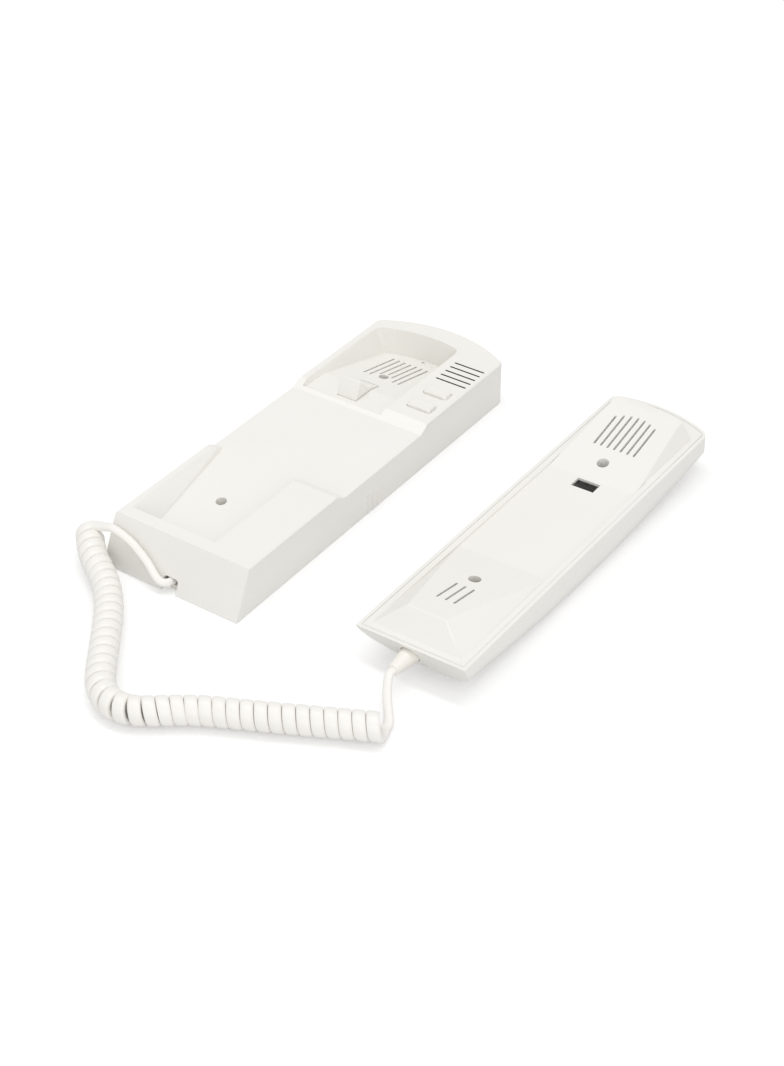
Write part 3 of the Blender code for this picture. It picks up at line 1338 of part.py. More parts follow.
def make_cord(boot_tip, boot_axis):
    curls, length = coil_points()
    leave = end_direction(curls[0], curls[1], curls[2])
    arrive = end_direction(curls[-1], curls[-2], curls[-3])
    tail = curls[-1] + arrive * WIRE_DIAMETER
    head = base_point(LEAD_IN[0])
    heading = (base_point(LEAD_IN[1]) - head).normalized()
    half = WIRE_DIAMETER / 2
    route = [head, head + heading * half, head + heading * WIRE_DIAMETER,
             curls[0] + leave * half, curls[0]]
    lead, lead_length = smooth(route, WIRE_DIAMETER / 3)
    wire = lead[:-1] + curls + [tail]
    coil = tube("cord_coil", wire, white_pvc(), 1)

    start = Vector((NOTCH_X, to_base(GRIP_Y) - GAP, PLATE_THICKNESS + GAP + half))
    meet = head - heading * GAP
    route = [start, start - Vector((0, WIRE_DIAMETER, 0))] + [base_point(p) for p in BASE_TAIL]
    route += [meet - heading * WIRE_DIAMETER, meet - heading * half, meet]
    points, base_length = smooth(route, WIRE_DIAMETER * 0.8)
    base_tail = tube("cord_base_tail", points, white_pvc(), 2)

    meet = tail + arrive * GAP
    end = boot_tip + boot_axis * GAP
    route = [meet, meet + arrive * half, meet + arrive * WIRE_DIAMETER]
    route += [base_point(p) for p in HANDSET_TAIL]
    route += [end + boot_axis * WIRE_DIAMETER, end + boot_axis * half, end]
    points, handset_length = smooth(route, WIRE_DIAMETER * 0.8)
    handset_tail = tube("cord_handset_tail", points, white_pvc(), 2)

    curl_length = sum((b - a).length for a, b in zip(wire, wire[1:]))
    print("curly cord: pitch %.2f mm, least gap between curls %.2f mm"
          % (length / CURLS * 1000, least_gap(curls) * 1000))
    print("curly cord: coil %.1f mm long, wire %.1f mm in the coil, %.1f and %.1f mm in its ends"
          % (length * 1000, curl_length * 1000, base_length * 1000, handset_length * 1000))
    return base_tail, coil, handset_tail


# ---- assembly ---------------------------------------------------------------------
def place_handset(pieces):
    """Lay the handset on its crowned back beside the base."""
    pose = bpy.data.objects.new("handset_pose", None)
    bpy.context.scene.collection.objects.link(pose)
    turn = Matrix.Rotation(HANDSET_YAW, 4, "Z") @ Matrix.Rotation(-HANDSET_ROLL, 4, "Y")
    turn = turn @ Matrix.Rotation(HANDSET_PITCH, 4, "X")
    lowest = min((turn @ v.co).z for v in pieces[0].data.vertices)
    pose.matrix_world = Matrix.Translation((HANDSET_X, HANDSET_Y, -lowest)) @ turn
    carry(pose, *pieces)
    bpy.context.view_layer.update()
    return pose


def main():
    clear_scene()
    make_base_cover()
    make_wall_plate()
    make_board()
    make_terminal_block()
    make_speaker()
    for name, y in (("lower_button", LOWER_BUTTON_Y), ("upper_button", UPPER_BUTTON_Y)):
        cap, stem_low = make_button(name, y)
        make_switch(name + "_switch", BUTTON_X, to_base(y), stem_low - BUTTON_TRAVEL - GAP)
    make_hook_switch()
    make_hook()
    make_hook_pin()
    lower, upper = screw_positions()
    make_cover_screw("cover_screw_lower", lower)
    make_cover_screw("cover_screw_upper", upper)
    make_cord_grip()

    boot, tip = make_boot()
    pieces = [make_handset_back(), make_handset_front(), boot, make_earpiece()]
    pieces += list(make_microphone())
    pieces += [make_handset_screw(name, y) for name, y in handset_screws()]
    pose = place_handset(pieces)

    boot_tip = pose.matrix_world @ Vector(tip)
    boot_axis = (pose.matrix_world.to_3x3() @ Vector((0, -1, 0))).normalized()
    make_cord(boot_tip, boot_axis)


main()
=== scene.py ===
"""Looks of a slim wall telephone: rounded mouldings, a curly cord and a plain studio."""

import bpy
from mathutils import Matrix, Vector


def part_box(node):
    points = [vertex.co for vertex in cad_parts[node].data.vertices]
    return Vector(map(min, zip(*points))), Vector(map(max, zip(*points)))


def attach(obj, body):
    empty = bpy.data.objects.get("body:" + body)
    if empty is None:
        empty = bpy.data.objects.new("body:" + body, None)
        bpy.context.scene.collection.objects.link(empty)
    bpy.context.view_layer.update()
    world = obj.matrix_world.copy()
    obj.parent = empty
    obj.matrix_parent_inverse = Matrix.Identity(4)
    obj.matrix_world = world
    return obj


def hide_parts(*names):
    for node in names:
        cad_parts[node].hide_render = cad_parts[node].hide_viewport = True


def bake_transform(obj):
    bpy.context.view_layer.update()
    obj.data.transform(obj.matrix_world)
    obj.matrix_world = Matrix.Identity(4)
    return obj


bl_info = {
    "name": "Slim wall telephone",
    "version": (1, 0, 0),
    "blender": (4, 5, 0),
    "location": "View3D > Sidebar > Telephone",
    "description": "Dresses the packed frame of a slim wall telephone",
    "category": "Object",
}

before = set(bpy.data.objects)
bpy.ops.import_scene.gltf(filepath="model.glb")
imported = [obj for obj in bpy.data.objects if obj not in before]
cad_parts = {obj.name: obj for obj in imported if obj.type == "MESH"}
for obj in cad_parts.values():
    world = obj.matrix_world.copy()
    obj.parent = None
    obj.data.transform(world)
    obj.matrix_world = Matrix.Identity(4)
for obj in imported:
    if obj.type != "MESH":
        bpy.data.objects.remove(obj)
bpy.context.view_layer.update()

from math import cos, degrees, pi, radians, sin

import bmesh
import bpy
from bpy.props import FloatProperty, FloatVectorProperty, IntProperty, PointerProperty
from mathutils import Matrix, Quaternion, Vector

MM = 0.001

# The coil's middle line on the table and the two plain ends: chosen points of the part's source.
COIL_ROUTE = (
    (-0.0444, -0.1020, 0.0090), (-0.0382, -0.1084, 0.0082), (-0.0316, -0.1132, 0.0072),
    (-0.0224, -0.1184, 0.0065), (-0.0124, -0.1269, 0.0063), (-0.0036, -0.1374, 0.0063),
    (0.0038, -0.1478, 0.0063), (0.0114, -0.1582, 0.0063), (0.0168, -0.1658, 0.0063),
    (0.0230, -0.1722, 0.0063), (0.0310, -0.1756, 0.0063), (0.0390, -0.1748, 0.0063),
    (0.0462, -0.1700, 0.0063), (0.0530, -0.1646, 0.0063), (0.0598, -0.1599, 0.0063),
    (0.0684, -0.1554, 0.0063), (0.0816, -0.1491, 0.0063), (0.0948, -0.1424, 0.0063),
    (0.1084, -0.1354, 0.0063), (0.1220, -0.1289, 0.0067),
)
BASE_TAIL = (
    (-0.0009, -0.1044, 0.0039), (-0.0036, -0.1062, 0.0046), (-0.0070, -0.1056, 0.0069),
    (-0.0103, -0.1041, 0.0092), (-0.0166, -0.1026, 0.0126), (-0.0224, -0.1015, 0.0150),
    (-0.0286, -0.1009, 0.0164),
)
LEAD_IN = ((-0.0356, -0.1008, 0.0160), (-0.0388, -0.1009, 0.0150))
HANDSET_TAIL = ((0.1209, -0.1214, 0.0029), (0.1174, -0.1170, 0.0041), (0.1136, -0.1127, 0.0064))
COIL_RADIUS = 4.5 * MM
CURLS = 39.5
WIRE = 3.2 * MM


# ---- settings ----------------------------------------------------------------
class MouldingSettings(bpy.types.PropertyGroup):
    """Edges and colour of the moulded plastic."""
    housing_round: FloatProperty(name="Housing edge", description="Radius of the housing's outer edges",
                                 default=0.0006, min=0.0001, max=0.002, unit="LENGTH")
    ridge_round: FloatProperty(name="Ridge", description="Radius of the ridges of the mouthpiece and earpiece",
                               default=0.00039, min=0.0002, max=0.003, unit="LENGTH")
    rib_lift: FloatProperty(name="Latch ribs", description="How much further the latch ribs stand out",
                            default=0.0002, min=0, max=0.0005, unit="LENGTH")
    colour: FloatVectorProperty(name="Plastic", description="Colour of the moulded housings",
                                default=(0.894, 0.884, 0.848), subtype="COLOR", min=0, max=1)
    # Painted highlight: a lighter colour on the rounded ridges stands in for the highlights on them.
    painted_highlight: FloatVectorProperty(name="Ridge highlight", description="Lighter colour on rounded ridges, for the highlights seen in the photograph",
                                  default=(0.985, 0.980, 0.960), subtype="COLOR", min=0, max=1)
    aged: FloatVectorProperty(name="Aged plastic", description="Colour where light has yellowed it",
                              default=(0.868, 0.846, 0.782), subtype="COLOR", min=0, max=1)


class CordSettings(bpy.types.PropertyGroup):
    """Section and colour of the cord."""
    width: FloatProperty(name="Width", description="Width of the flat cord",
                         default=0.00512, min=0.003, max=0.006, unit="LENGTH")
    thickness: FloatProperty(name="Thickness", description="Thickness of the flat cord",
                             default=0.0030, min=0.002, max=0.004, unit="LENGTH")
    tail_width: FloatProperty(name="Tail width", description="Width of the cord's two plain ends",
                              default=0.0036, min=0.002, max=0.006, unit="LENGTH")
    tail_thickness: FloatProperty(name="Tail thickness", description="Thickness of the cord's two plain ends",
                                  default=0.0027, min=0.002, max=0.004, unit="LENGTH")
    around: IntProperty(name="Sides", description="Points round the cord's section", default=16, min=8, max=32)
    per_curl: IntProperty(name="Rings per curl", description="Rings in each curl", default=22, min=12, max=40)
    colour: FloatVectorProperty(name="Jacket", description="Colour of the cord's jacket",
                                default=(0.930, 0.912, 0.875), subtype="COLOR", min=0, max=1)
    boot_colour: FloatVectorProperty(name="Boot", description="Colour of the strain relief",
                                     default=(0.940, 0.905, 0.845), subtype="COLOR", min=0, max=1)


class StageSettings(bpy.types.PropertyGroup):
    """Lamps, floor and camera."""
    key: FloatProperty(name="Key lamp", description="Strength of the large lamp", default=1.15, min=0)
    fill: FloatProperty(name="Fill lamp", description="Strength of the lamp on the near side", default=1.05, min=0)
    sky: FloatProperty(name="Sky", description="Strength of the surrounding light", default=0.72, min=0)
    glow: FloatProperty(name="Floor glow", description="How far the floor is lifted to white for the camera",
                        default=0.29, min=0, max=1)
    lens: FloatProperty(name="Lens", description="Focal length in millimetres on a 36 mm high frame", default=67.87)
    floor: FloatVectorProperty(name="Floor", description="Colour of the floor", default=(0.80, 0.80, 0.80),
                               subtype="COLOR", min=0, max=1)


# ---- shader tools --------------------------------------------------------------
class Tap:
    """A shader socket on which Python's operators add Math nodes."""

    def __init__(self, finish, socket):
        self.finish = finish
        self.socket = socket

    def maths(self, operation, one, two=0.0):
        return self.finish.node("ShaderNodeMath", {"operation": operation}, {0: one, 1: two})

    def __add__(self, other):
        return self.maths("ADD", self, other)

    def __radd__(self, other):
        return self.maths("ADD", other, self)

    def __sub__(self, other):
        return self.maths("SUBTRACT", self, other)

    def __rsub__(self, other):
        return self.maths("SUBTRACT", other, self)

    def __mul__(self, other):
        return self.maths("MULTIPLY", self, other)

    def __rmul__(self, other):
        return self.maths("MULTIPLY", other, self)

    def __truediv__(self, other):
        return self.maths("DIVIDE", self, other)

    def __pow__(self, other):
        return self.maths("POWER", self, other)

    def above(self, edge):
        return self.maths("GREATER_THAN", self, edge)

    def clamped(self):
        return self.maths("MAXIMUM", self.maths("MINIMUM", self, 1.0), 0.0)


class Finish:
    """One procedural material. Constants go on the shader's sockets, the rest through taps."""

    def __init__(self, name, **constants):
        self.material = bpy.data.materials.new(name)
        self.material.use_nodes = True
        self.tree = self.material.node_tree
        self.shader = self.tree.nodes["Principled BSDF"]
        for socket, value in constants.items():
            self.shader.inputs[socket.replace("_", " ")].default_value = value

    def node(self, kind, settings=None, sockets=None, output=0):
        made = self.tree.nodes.new(kind)
        for key, value in (settings or {}).items():
            if key == "stops":
                self.fill_ramp(made.color_ramp, value)
            else:
                setattr(made, key, value)
        for key, value in (sockets or {}).items():
            socket = made.inputs[key]
            if isinstance(value, Tap):
                self.tree.links.new(value.socket, socket)
            else:
                socket.default_value = value
        return Tap(self, made.outputs[output])

    @staticmethod
    def fill_ramp(ramp, stops):
        while len(ramp.elements) < len(stops):
            ramp.elements.new(0.5)
        for element, (place, shade) in zip(ramp.elements, stops):
            element.position = place
            element.color = (shade, shade, shade, 1.0)

    def place(self, stretch=(1, 1, 1)):
        """The object's own coordinates in metres, stretched."""
        own = self.node("ShaderNodeTexCoord", output="Object")
        if stretch == (1, 1, 1):
            return own
        return self.node("ShaderNodeVectorMath", {"operation": "MULTIPLY"}, {0: own, 1: stretch})

    def noise(self, scale, detail=3.0, rough=0.5, stretch=(1, 1, 1)):
        return self.node("ShaderNodeTexNoise", None, {"Vector": self.place(stretch), "Scale": scale,
                                                      "Detail": detail, "Roughness": rough})

    def ramp(self, value, *stops):
        return self.node("ShaderNodeValToRGB", {"stops": stops}, {"Fac": value})

    def mix(self, share, one, two):
        return self.node("ShaderNodeMix", {"data_type": "RGBA"}, {"Factor": share, 6: one, 7: two}, 2)

    def within(self, low, high):
        """One inside a box given in millimetres, nought outside it."""
        parts = self.node("ShaderNodeSeparateXYZ", None, {0: self.place()})
        share = 1.0
        for k in range(3):
            part = Tap(self, parts.socket.node.outputs[k])
            share = share * part.above(low[k] * MM) * (1 - part.above(high[k] * MM))
        return share

    def drive(self, **taps):
        for name, tap in taps.items():
            self.tree.links.new(tap.socket, self.shader.inputs[name.replace("_", " ")])

    def bump(self, height, strength, distance):
        self.drive(Normal=self.node("ShaderNodeBump", None,
                                    {"Height": height, "Strength": strength, "Distance": distance}))


def rgba(colour):
    return (*colour, 1.0)


# Painted shade: inside this box the cover's colour is mixed nearly to black, to darken the ringer's slots as shade
# does.
SLOT_SHADE_BOX = ((15.0, 65.0, 16.0), (34.4, 84.0, 20.85))      # round the ringer's slots, in millimetres


def moulded_plastic(name, colour, aged, gloss=0.27, grain=1.0, shaded_slots=False):
    """Moulded ABS: even satin with a fine grain, faint flow marks, light scuffs and dust specks; it can also paint
    shade, near black, inside the ringer's slots.
    """
    finish = Finish(name, IOR=1.47, Coat_Weight=0.0)
    ageing = finish.ramp(finish.noise(16, 3, 0.55), (0.35, 0.0), (0.75, 1.0))
    flow = finish.noise(60, 2, 0.4, (1, 0.25, 1))
    specks = finish.ramp(finish.noise(900, 2, 0.6), (0.70, 0.0), (0.78, 1.0))
    tone = finish.mix(ageing * 0.35 + flow * 0.12, rgba(colour), rgba(aged))
    grime = tuple(part * 0.78 for part in aged)
    tone = finish.mix(specks * 0.10, tone, rgba(grime))
    # Painted shade: the ringer's slots are coloured near black inside the box.
    if shaded_slots:
        tone = finish.mix(finish.within(*SLOT_SHADE_BOX) * 0.94, tone, (0.02, 0.02, 0.02, 1))
    finish.drive(Base_Color=tone)
    scuffs = finish.ramp(finish.noise(420, 4, 0.6, (1, 0.08, 1)), (0.56, 0.0), (0.66, 1.0))
    finish.drive(Roughness=gloss + 0.06 * flow + 0.10 * scuffs * ageing + 0.05 * specks)
    fine = finish.noise(3200 * grain, 2, 0.5)
    coarse = finish.noise(700, 2, 0.5)
    finish.bump(fine * 0.7 + coarse * 0.5, 0.10, 0.00025)
    return finish.material


def soft_vinyl(name, colour, worn):
    """PVC jacket: softer sheen, faint draw lines and handling marks."""
    finish = Finish(name, IOR=1.50)
    marks = finish.ramp(finish.noise(55, 4, 0.6), (0.45, 0.0), (0.8, 1.0))
    mottled = finish.noise(420, 3, 0.5)
    finish.drive(Base_Color=finish.mix(marks * 0.45 + mottled * 0.10, rgba(colour), rgba(worn)))
    finish.drive(Roughness=0.36 + 0.12 * marks + 0.05 * mottled)
    finish.bump(finish.noise(1500, 3, 0.55) + 0.5 * mottled, 0.12, 0.0003)
    return finish.material


def plated_steel(name="zinc_plate", bright=0.62):
    """Plated steel with drawn brushing and dull spots."""
    finish = Finish(name, Metallic=1.0, IOR=2.4)
    brushed = finish.noise(700, 3, 0.6, (1, 1, 9))
    spots = finish.ramp(finish.noise(260, 3, 0.6), (0.5, 0.0), (0.75, 1.0))
    dull = bright * 0.69
    finish.drive(Base_Color=finish.mix(spots * 0.5, (bright, bright, bright * 0.97, 1),
                                       (dull, dull * 0.98, dull * 0.92, 1)))
    finish.drive(Roughness=0.24 + 0.12 * brushed + 0.18 * spots)
    finish.bump(brushed, 0.10, 0.0002)
    return finish.material


def turned_brass():
    """Brass terminal screws, tarnished in places."""
    finish = Finish("turned_brass", Metallic=1.0)
    tarnish = finish.ramp(finish.noise(500, 3, 0.6), (0.4, 0.0), (0.75, 1.0))
    finish.drive(Base_Color=finish.mix(tarnish * 0.6, (0.72, 0.54, 0.24, 1), (0.42, 0.30, 0.14, 1)))
    finish.drive(Roughness=0.26 + 0.22 * tarnish)
    finish.bump(finish.noise(2400, 2, 0.5), 0.08, 0.0002)
    return finish.material


def dark_plastic():
    """Black moulded plastic of switches and the receiver capsule."""
    finish = Finish("black_moulding", IOR=1.46)
    dust = finish.ramp(finish.noise(650, 4, 0.65), (0.52, 0.0), (0.8, 1.0))
    finish.drive(Base_Color=finish.mix(dust * 0.35, (0.022, 0.022, 0.024, 1), (0.12, 0.115, 0.105, 1)))
    finish.drive(Roughness=0.42 + 0.25 * dust)
    finish.bump(finish.noise(2600, 2, 0.5), 0.15, 0.0002)
    return finish.material


def circuit_laminate():
    """Green laminate with tracks under the lacquer and a fine weave."""
    finish = Finish("green_laminate", IOR=1.5, Coat_Weight=0.3, Coat_Roughness=0.2)
    tracks = finish.ramp(finish.node("ShaderNodeTexBrick", {"offset": 0.37},
                                     {"Vector": finish.place(), "Scale": 140.0, "Mortar Size": 0.06,
                                      "Color1": (1, 1, 1, 1), "Color2": (0.7, 0.7, 0.7, 1),
                                      "Mortar": (0, 0, 0, 1)}), (0.2, 1.0), (0.5, 0.0))
    cloth = finish.noise(1800, 2, 0.5, (1, 0.3, 1))
    finish.drive(Base_Color=finish.mix(tracks * 0.6 + cloth * 0.1, (0.03, 0.16, 0.07, 1), (0.10, 0.30, 0.12, 1)))
    finish.drive(Roughness=0.34 + 0.10 * cloth)
    finish.bump(tracks + cloth * 0.3, 0.2, 0.0002)
    return finish.material


def foam_rubber():
    """Soft black rubber of the microphone's sleeve, with open pores."""
    finish = Finish("foam_rubber", IOR=1.4)
    pores = finish.ramp(finish.noise(2200, 3, 0.6), (0.45, 0.0), (0.6, 1.0))
    finish.drive(Base_Color=finish.mix(pores * 0.6, (0.05, 0.05, 0.048, 1), (0.015, 0.015, 0.015, 1)))
    finish.drive(Roughness=0.78 + 0.12 * pores)
    finish.bump(1 - pores, 0.5, 0.0003)
    return finish.material


FINISHES = {}


def finish(name):
    """A named finish, made once."""
    if name not in FINISHES:
        plastic = bpy.context.scene.telephone_moulding
        cord = bpy.context.scene.telephone_cord
        makers = {
            "housing": lambda: moulded_plastic("housing_plastic", plastic.colour, plastic.aged),
            # The cover's plastic carries the painted shade in the ringer's slots.
            "cover": lambda: moulded_plastic("cover_plastic", plastic.colour, plastic.aged, shaded_slots=True),
            # Painted highlight: a lighter, glossier copy of the plastic for the rounded ridges.
            "painted_highlight": lambda: moulded_plastic("painted_highlight_edge", plastic.painted_highlight, plastic.painted_highlight, 0.16),
            "key": lambda: moulded_plastic("button_plastic", plastic.colour, plastic.aged, 0.26, 1.3),
            "plate": lambda: moulded_plastic("plate_plastic", plastic.aged, plastic.aged, 0.42),
            "jacket": lambda: soft_vinyl("cord_vinyl", cord.colour, plastic.aged),
            "boot": lambda: soft_vinyl("boot_vinyl", cord.boot_colour, plastic.aged),
            "steel": plated_steel,
            # Painted shade: a darker copy of the plated steel for the upper handset screw, which sits in shade in
            # its hole.
            "shaded_steel": lambda: plated_steel("painted_shade_steel", 0.16),
            "brass": turned_brass,
            "black": dark_plastic,
            "laminate": circuit_laminate,
            "foam": foam_rubber,
        }
        FINISHES[name] = makers[name]()
    return FINISHES[name]


# ---- mesh tools ----------------------------------------------------------------
def link(name, mesh, look):
    obj = bpy.data.objects.new(name, mesh)
    bpy.context.scene.collection.objects.link(obj)
    mesh.materials.clear()
    mesh.materials.append(look)
    return obj


def copied(node):
    """A node's form for editing, with the flat faces of its triangles joined."""
    work = bmesh.new()
    work.from_mesh(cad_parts[node].data)
    bmesh.ops.remove_doubles(work, verts=work.verts, dist=0.003 * MM)
    bmesh.ops.dissolve_limit(work, angle_limit=radians(0.5), verts=work.verts, edges=work.edges)
    return work


def flat_groups(work):
    """The form's flat areas: each face's group, as (faces, width, normal)."""
    group = {}
    for seed in work.faces:
        if seed in group:
            continue
        members = [seed]
        group[seed] = None
        for face in members:
            for edge in face.edges:
                for other in edge.link_faces:
                    if other not in group and face.normal.angle(other.normal, pi) < radians(0.8):
                        group[other] = None
                        members.append(other)
        corners = [vert.co for face in members for vert in face.verts]
        low = Vector(min(corner[k] for corner in corners) for k in range(3))
        high = Vector(max(corner[k] for corner in corners) for k in range(3))
        width = sum(face.calc_area() for face in members) / max((high - low).length, 1e-9)
        for face in members:
            group[face] = (members, width, seed.normal.copy())
    return group


NARROW = 1.8 * MM       # flat areas of less width are chamfers and strips of roundings


def creases(work, least, test, room=0.9 * MM):
    """Edges between two wide flat areas, with no short edge at their ends, that can take a rounding."""
    group = flat_groups(work)
    chosen = []
    for edge in work.edges:
        if len(edge.link_faces) != 2 or edge.calc_face_angle() < radians(least) or not test(edge):
            continue
        others = [other for vert in edge.verts for other in vert.link_edges]
        if min(other.calc_length() for other in others) < room:
            continue
        if all(group[face][1] > NARROW for face in edge.link_faces):
            chosen.append(edge)
    return chosen


def rounded(work, edges, radius, steps, lit=None):
    """Round edges; faces of the rounding that pass the test lit get the painted highlight, a lighter and glossier
    finish.
    """
    made = bmesh.ops.bevel(work, geom=edges, offset=radius, offset_type="OFFSET", segments=steps, profile=0.5,
                    affect="EDGES", clamp_overlap=False, loop_slide=True, miter_outer="SHARP")
    for face in made["faces"]:
        if lit and lit(face):
            face.material_index = 1
    bmesh.ops.remove_doubles(work, verts=work.verts, dist=0.004 * MM)


def shown(work, name, look, facets=True, smooth=34):
    """Turn the edited form into an object. With facets, only narrow strips shade smoothly."""
    normals = [None]
    flat = work.faces.layers.int.new("flat")
    if facets:
        numbers = {}
        for face, (members, width, normal) in flat_groups(work).items():
            if width > NARROW:
                if id(members) not in numbers:
                    numbers[id(members)] = len(normals)
                    normals.append(normal)
                face[flat] = numbers[id(members)]
    for edge in work.edges:
        edge.smooth = facets or (len(edge.link_faces) == 2 and degrees(edge.calc_face_angle()) < smooth)
    for face in work.faces:
        face.smooth = True
    bmesh.ops.triangulate(work, faces=work.faces, quad_method="BEAUTY", ngon_method="EAR_CLIP")
    mesh = bpy.data.meshes.new(name)
    work.to_mesh(mesh)
    work.free()
    obj = link(name, mesh, look)
    # Rounding faces marked as lit take the painted highlight as their second material.
    if any(polygon.material_index for polygon in mesh.polygons):
        mesh.materials.append(finish("painted_highlight"))
    if facets:
        mesh.normals_split_custom_set(facet_normals(mesh, normals))
    else:
        obj.modifiers.new("even shading", "WEIGHTED_NORMAL").keep_sharp = True
    return obj


def facet_normals(mesh, normals):
    """Wide flat areas keep their own normals; the strips between them turn from one to the next."""
    flat = [item.value for item in mesh.attributes["flat"].data]
    faces = [(polygon.normal.copy(), polygon.area) for polygon in mesh.polygons]
    around = [[] for vert in mesh.vertices]
    for polygon in mesh.polygons:
        for vert in polygon.vertices:
            around[vert].append(polygon.index)
    corners = [None] * len(mesh.loops)
    for polygon in mesh.polygons:
        for loop in polygon.loop_indices:
            near = around[mesh.loops[loop].vertex_index]
            own = faces[polygon.index][0]
            lead = flat[polygon.index]
            wide = {flat[i] for i in near if flat[i] and normals[flat[i]].angle(own, pi) < radians(50)}
            if not lead and wide:
                lead = min(wide, key=lambda number: normals[number].angle(own))
            if lead:
                parts = [normals[number] for number in wide | {lead}
                         if normals[number].angle(normals[lead]) < radians(9)]
            else:
                parts = [faces[i][0] * faces[i][1] for i in near if faces[i][0].angle(own, pi) < radians(50)]
            corners[loop] = sum(parts, Vector()).normalized()
    return corners


def seat(obj, body, node):
    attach(obj, body)
    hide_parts(node)
    return obj


# ---- cord ------------------------------------------------------------------------
def smooth_line(points, spacing):
    """Even points along a smooth curve that the chosen points steer; it starts and ends on them."""
    knots = [Vector(p) for p in points]
    knots = [knots[0] * 2 - knots[1]] + knots + [knots[-1] * 2 - knots[-2]]
    fine = []
    for i in range(1, len(knots) - 2):
        a, b, c, d = knots[i - 1:i + 3]
        for k in range(24):
            t = k / 24
            fine.append((a * (1 - t) ** 3 + b * (3 * t ** 3 - 6 * t * t + 4)
                         + c * (1 + 3 * t + 3 * t * t - 3 * t ** 3) + d * t ** 3) / 6)
    fine.append(knots[-2].copy())
    runs = [0.0]
    for one, two in zip(fine, fine[1:]):
        runs.append(runs[-1] + (two - one).length)
    count = max(2, round(runs[-1] / spacing))
    even = []
    i = 0
    for k in range(count + 1):
        wanted = runs[-1] * k / count
        while i < len(runs) - 2 and runs[i + 1] < wanted:
            i += 1
        share = (wanted - runs[i]) / max(1e-12, runs[i + 1] - runs[i])
        even.append(fine[i].lerp(fine[i + 1], share))
    return even


def curl_line(per_curl):
    """The curls, with the coil's own direction at each point."""
    middle = smooth_line(COIL_ROUTE, 0.5 * MM)
    total = round(CURLS * per_curl)
    points = []
    axes = []
    for k in range(total + 1):
        place = k / total * (len(middle) - 1)
        i = min(int(place), len(middle) - 2)
        centre = middle[i].lerp(middle[i + 1], place - i)
        ahead = middle[min(i + 4, len(middle) - 1)]
        behind = middle[max(i - 3, 0)]
        axis = (ahead - behind).normalized()
        side = axis.cross(Vector((0, 0, 1))).normalized()
        up = side.cross(axis)
        turn = 2 * pi * CURLS * k / total
        points.append(centre + COIL_RADIUS * (cos(turn) * up + sin(turn) * side))
        axes.append(axis)
    return points, axes


def carried_widths(points, width):
    """Carry a width direction along a line without twisting it."""
    widths = []
    for i, point in enumerate(points):
        ahead = (points[min(i + 1, len(points) - 1)] - points[max(i - 1, 0)]).normalized()
        width = (width - ahead * width.dot(ahead)).normalized()
        widths.append(width)
    return widths


def cord_line(settings, boot_tip, boot_axis, hole):
    """The whole cord from the base's grip to the handset's boot, with its width directions."""
    curls, axes = curl_line(settings.per_curl)
    step = 2 * pi * COIL_RADIUS / settings.per_curl
    leave = (curls[0] - curls[1]).normalized()
    arrive = (curls[-1] - curls[-2]).normalized()
    head = Vector(LEAD_IN[0])
    heading = (Vector(LEAD_IN[1]) - head).normalized()
    lead = smooth_line([head, head + heading * WIRE / 2, head + heading * WIRE,
                        curls[0] + leave * WIRE / 2, curls[0]], step)
    inner = [hole, hole - Vector((0, WIRE, 0))]
    meet = head
    base = smooth_line(inner + [Vector(p) for p in BASE_TAIL]
                       + [meet - heading * WIRE, meet - heading * WIRE / 2, meet], step)
    meet = curls[-1] + arrive * WIRE
    end = boot_tip
    tail = smooth_line([curls[-1], meet, meet + arrive * WIRE] + [Vector(p) for p in HANDSET_TAIL]
                       + [end + boot_axis * WIRE, end + boot_axis * WIRE / 2, end], step)
    before = base[:-1] + lead[:-1]
    first = carried_widths(list(reversed(before)), axes[0])
    last = carried_widths(tail[1:], axes[-1])
    coiled = [max(0.0, 1 - (len(before) - i) / 9) for i in range(len(before))]
    coiled += [1.0] * len(curls) + [max(0.0, 1 - (i + 1) / 9) for i in range(len(tail) - 1)]
    return before + curls + tail[1:], list(reversed(first)) + axes + last, coiled


def ribbon(name, points, widths, coiled, settings, look):
    """A flat cord with round edges swept along its line; it is flatter where it is coiled."""
    around = settings.around
    work = bmesh.new()
    rings = []
    for i, point in enumerate(points):
        ahead = (points[min(i + 1, len(points) - 1)] - points[max(i - 1, 0)]).normalized()
        wide = (widths[i] - ahead * widths[i].dot(ahead)).normalized()
        thick = ahead.cross(wide)
        ring = []
        share = coiled[i]
        width = settings.tail_width + (settings.width - settings.tail_width) * share
        height = settings.tail_thickness + (settings.thickness - settings.tail_thickness) * share
        square = 0.85 - 0.27 * share
        for k in range(around):
            turn = 2 * pi * k / around
            across = abs(cos(turn)) ** square * (1 if cos(turn) >= 0 else -1)
            rise = abs(sin(turn)) ** square * (1 if sin(turn) >= 0 else -1)
            ring.append(work.verts.new(point + wide * across * width / 2 + thick * rise * height / 2))
        rings.append(ring)
    for one, two in zip(rings, rings[1:]):
        for k in range(around):
            j = (k + 1) % around
            work.faces.new((one[k], one[j], two[j], two[k]))
    work.faces.new(list(reversed(rings[0])))
    work.faces.new(rings[-1])
    bmesh.ops.recalc_face_normals(work, faces=work.faces)
    mesh = bpy.data.meshes.new(name)
    work.to_mesh(mesh)
    work.free()
    mesh.polygons.foreach_set("use_smooth", [True] * len(mesh.polygons))
    mesh.set_sharp_from_angle(angle=radians(60))
    return link(name, mesh, look)


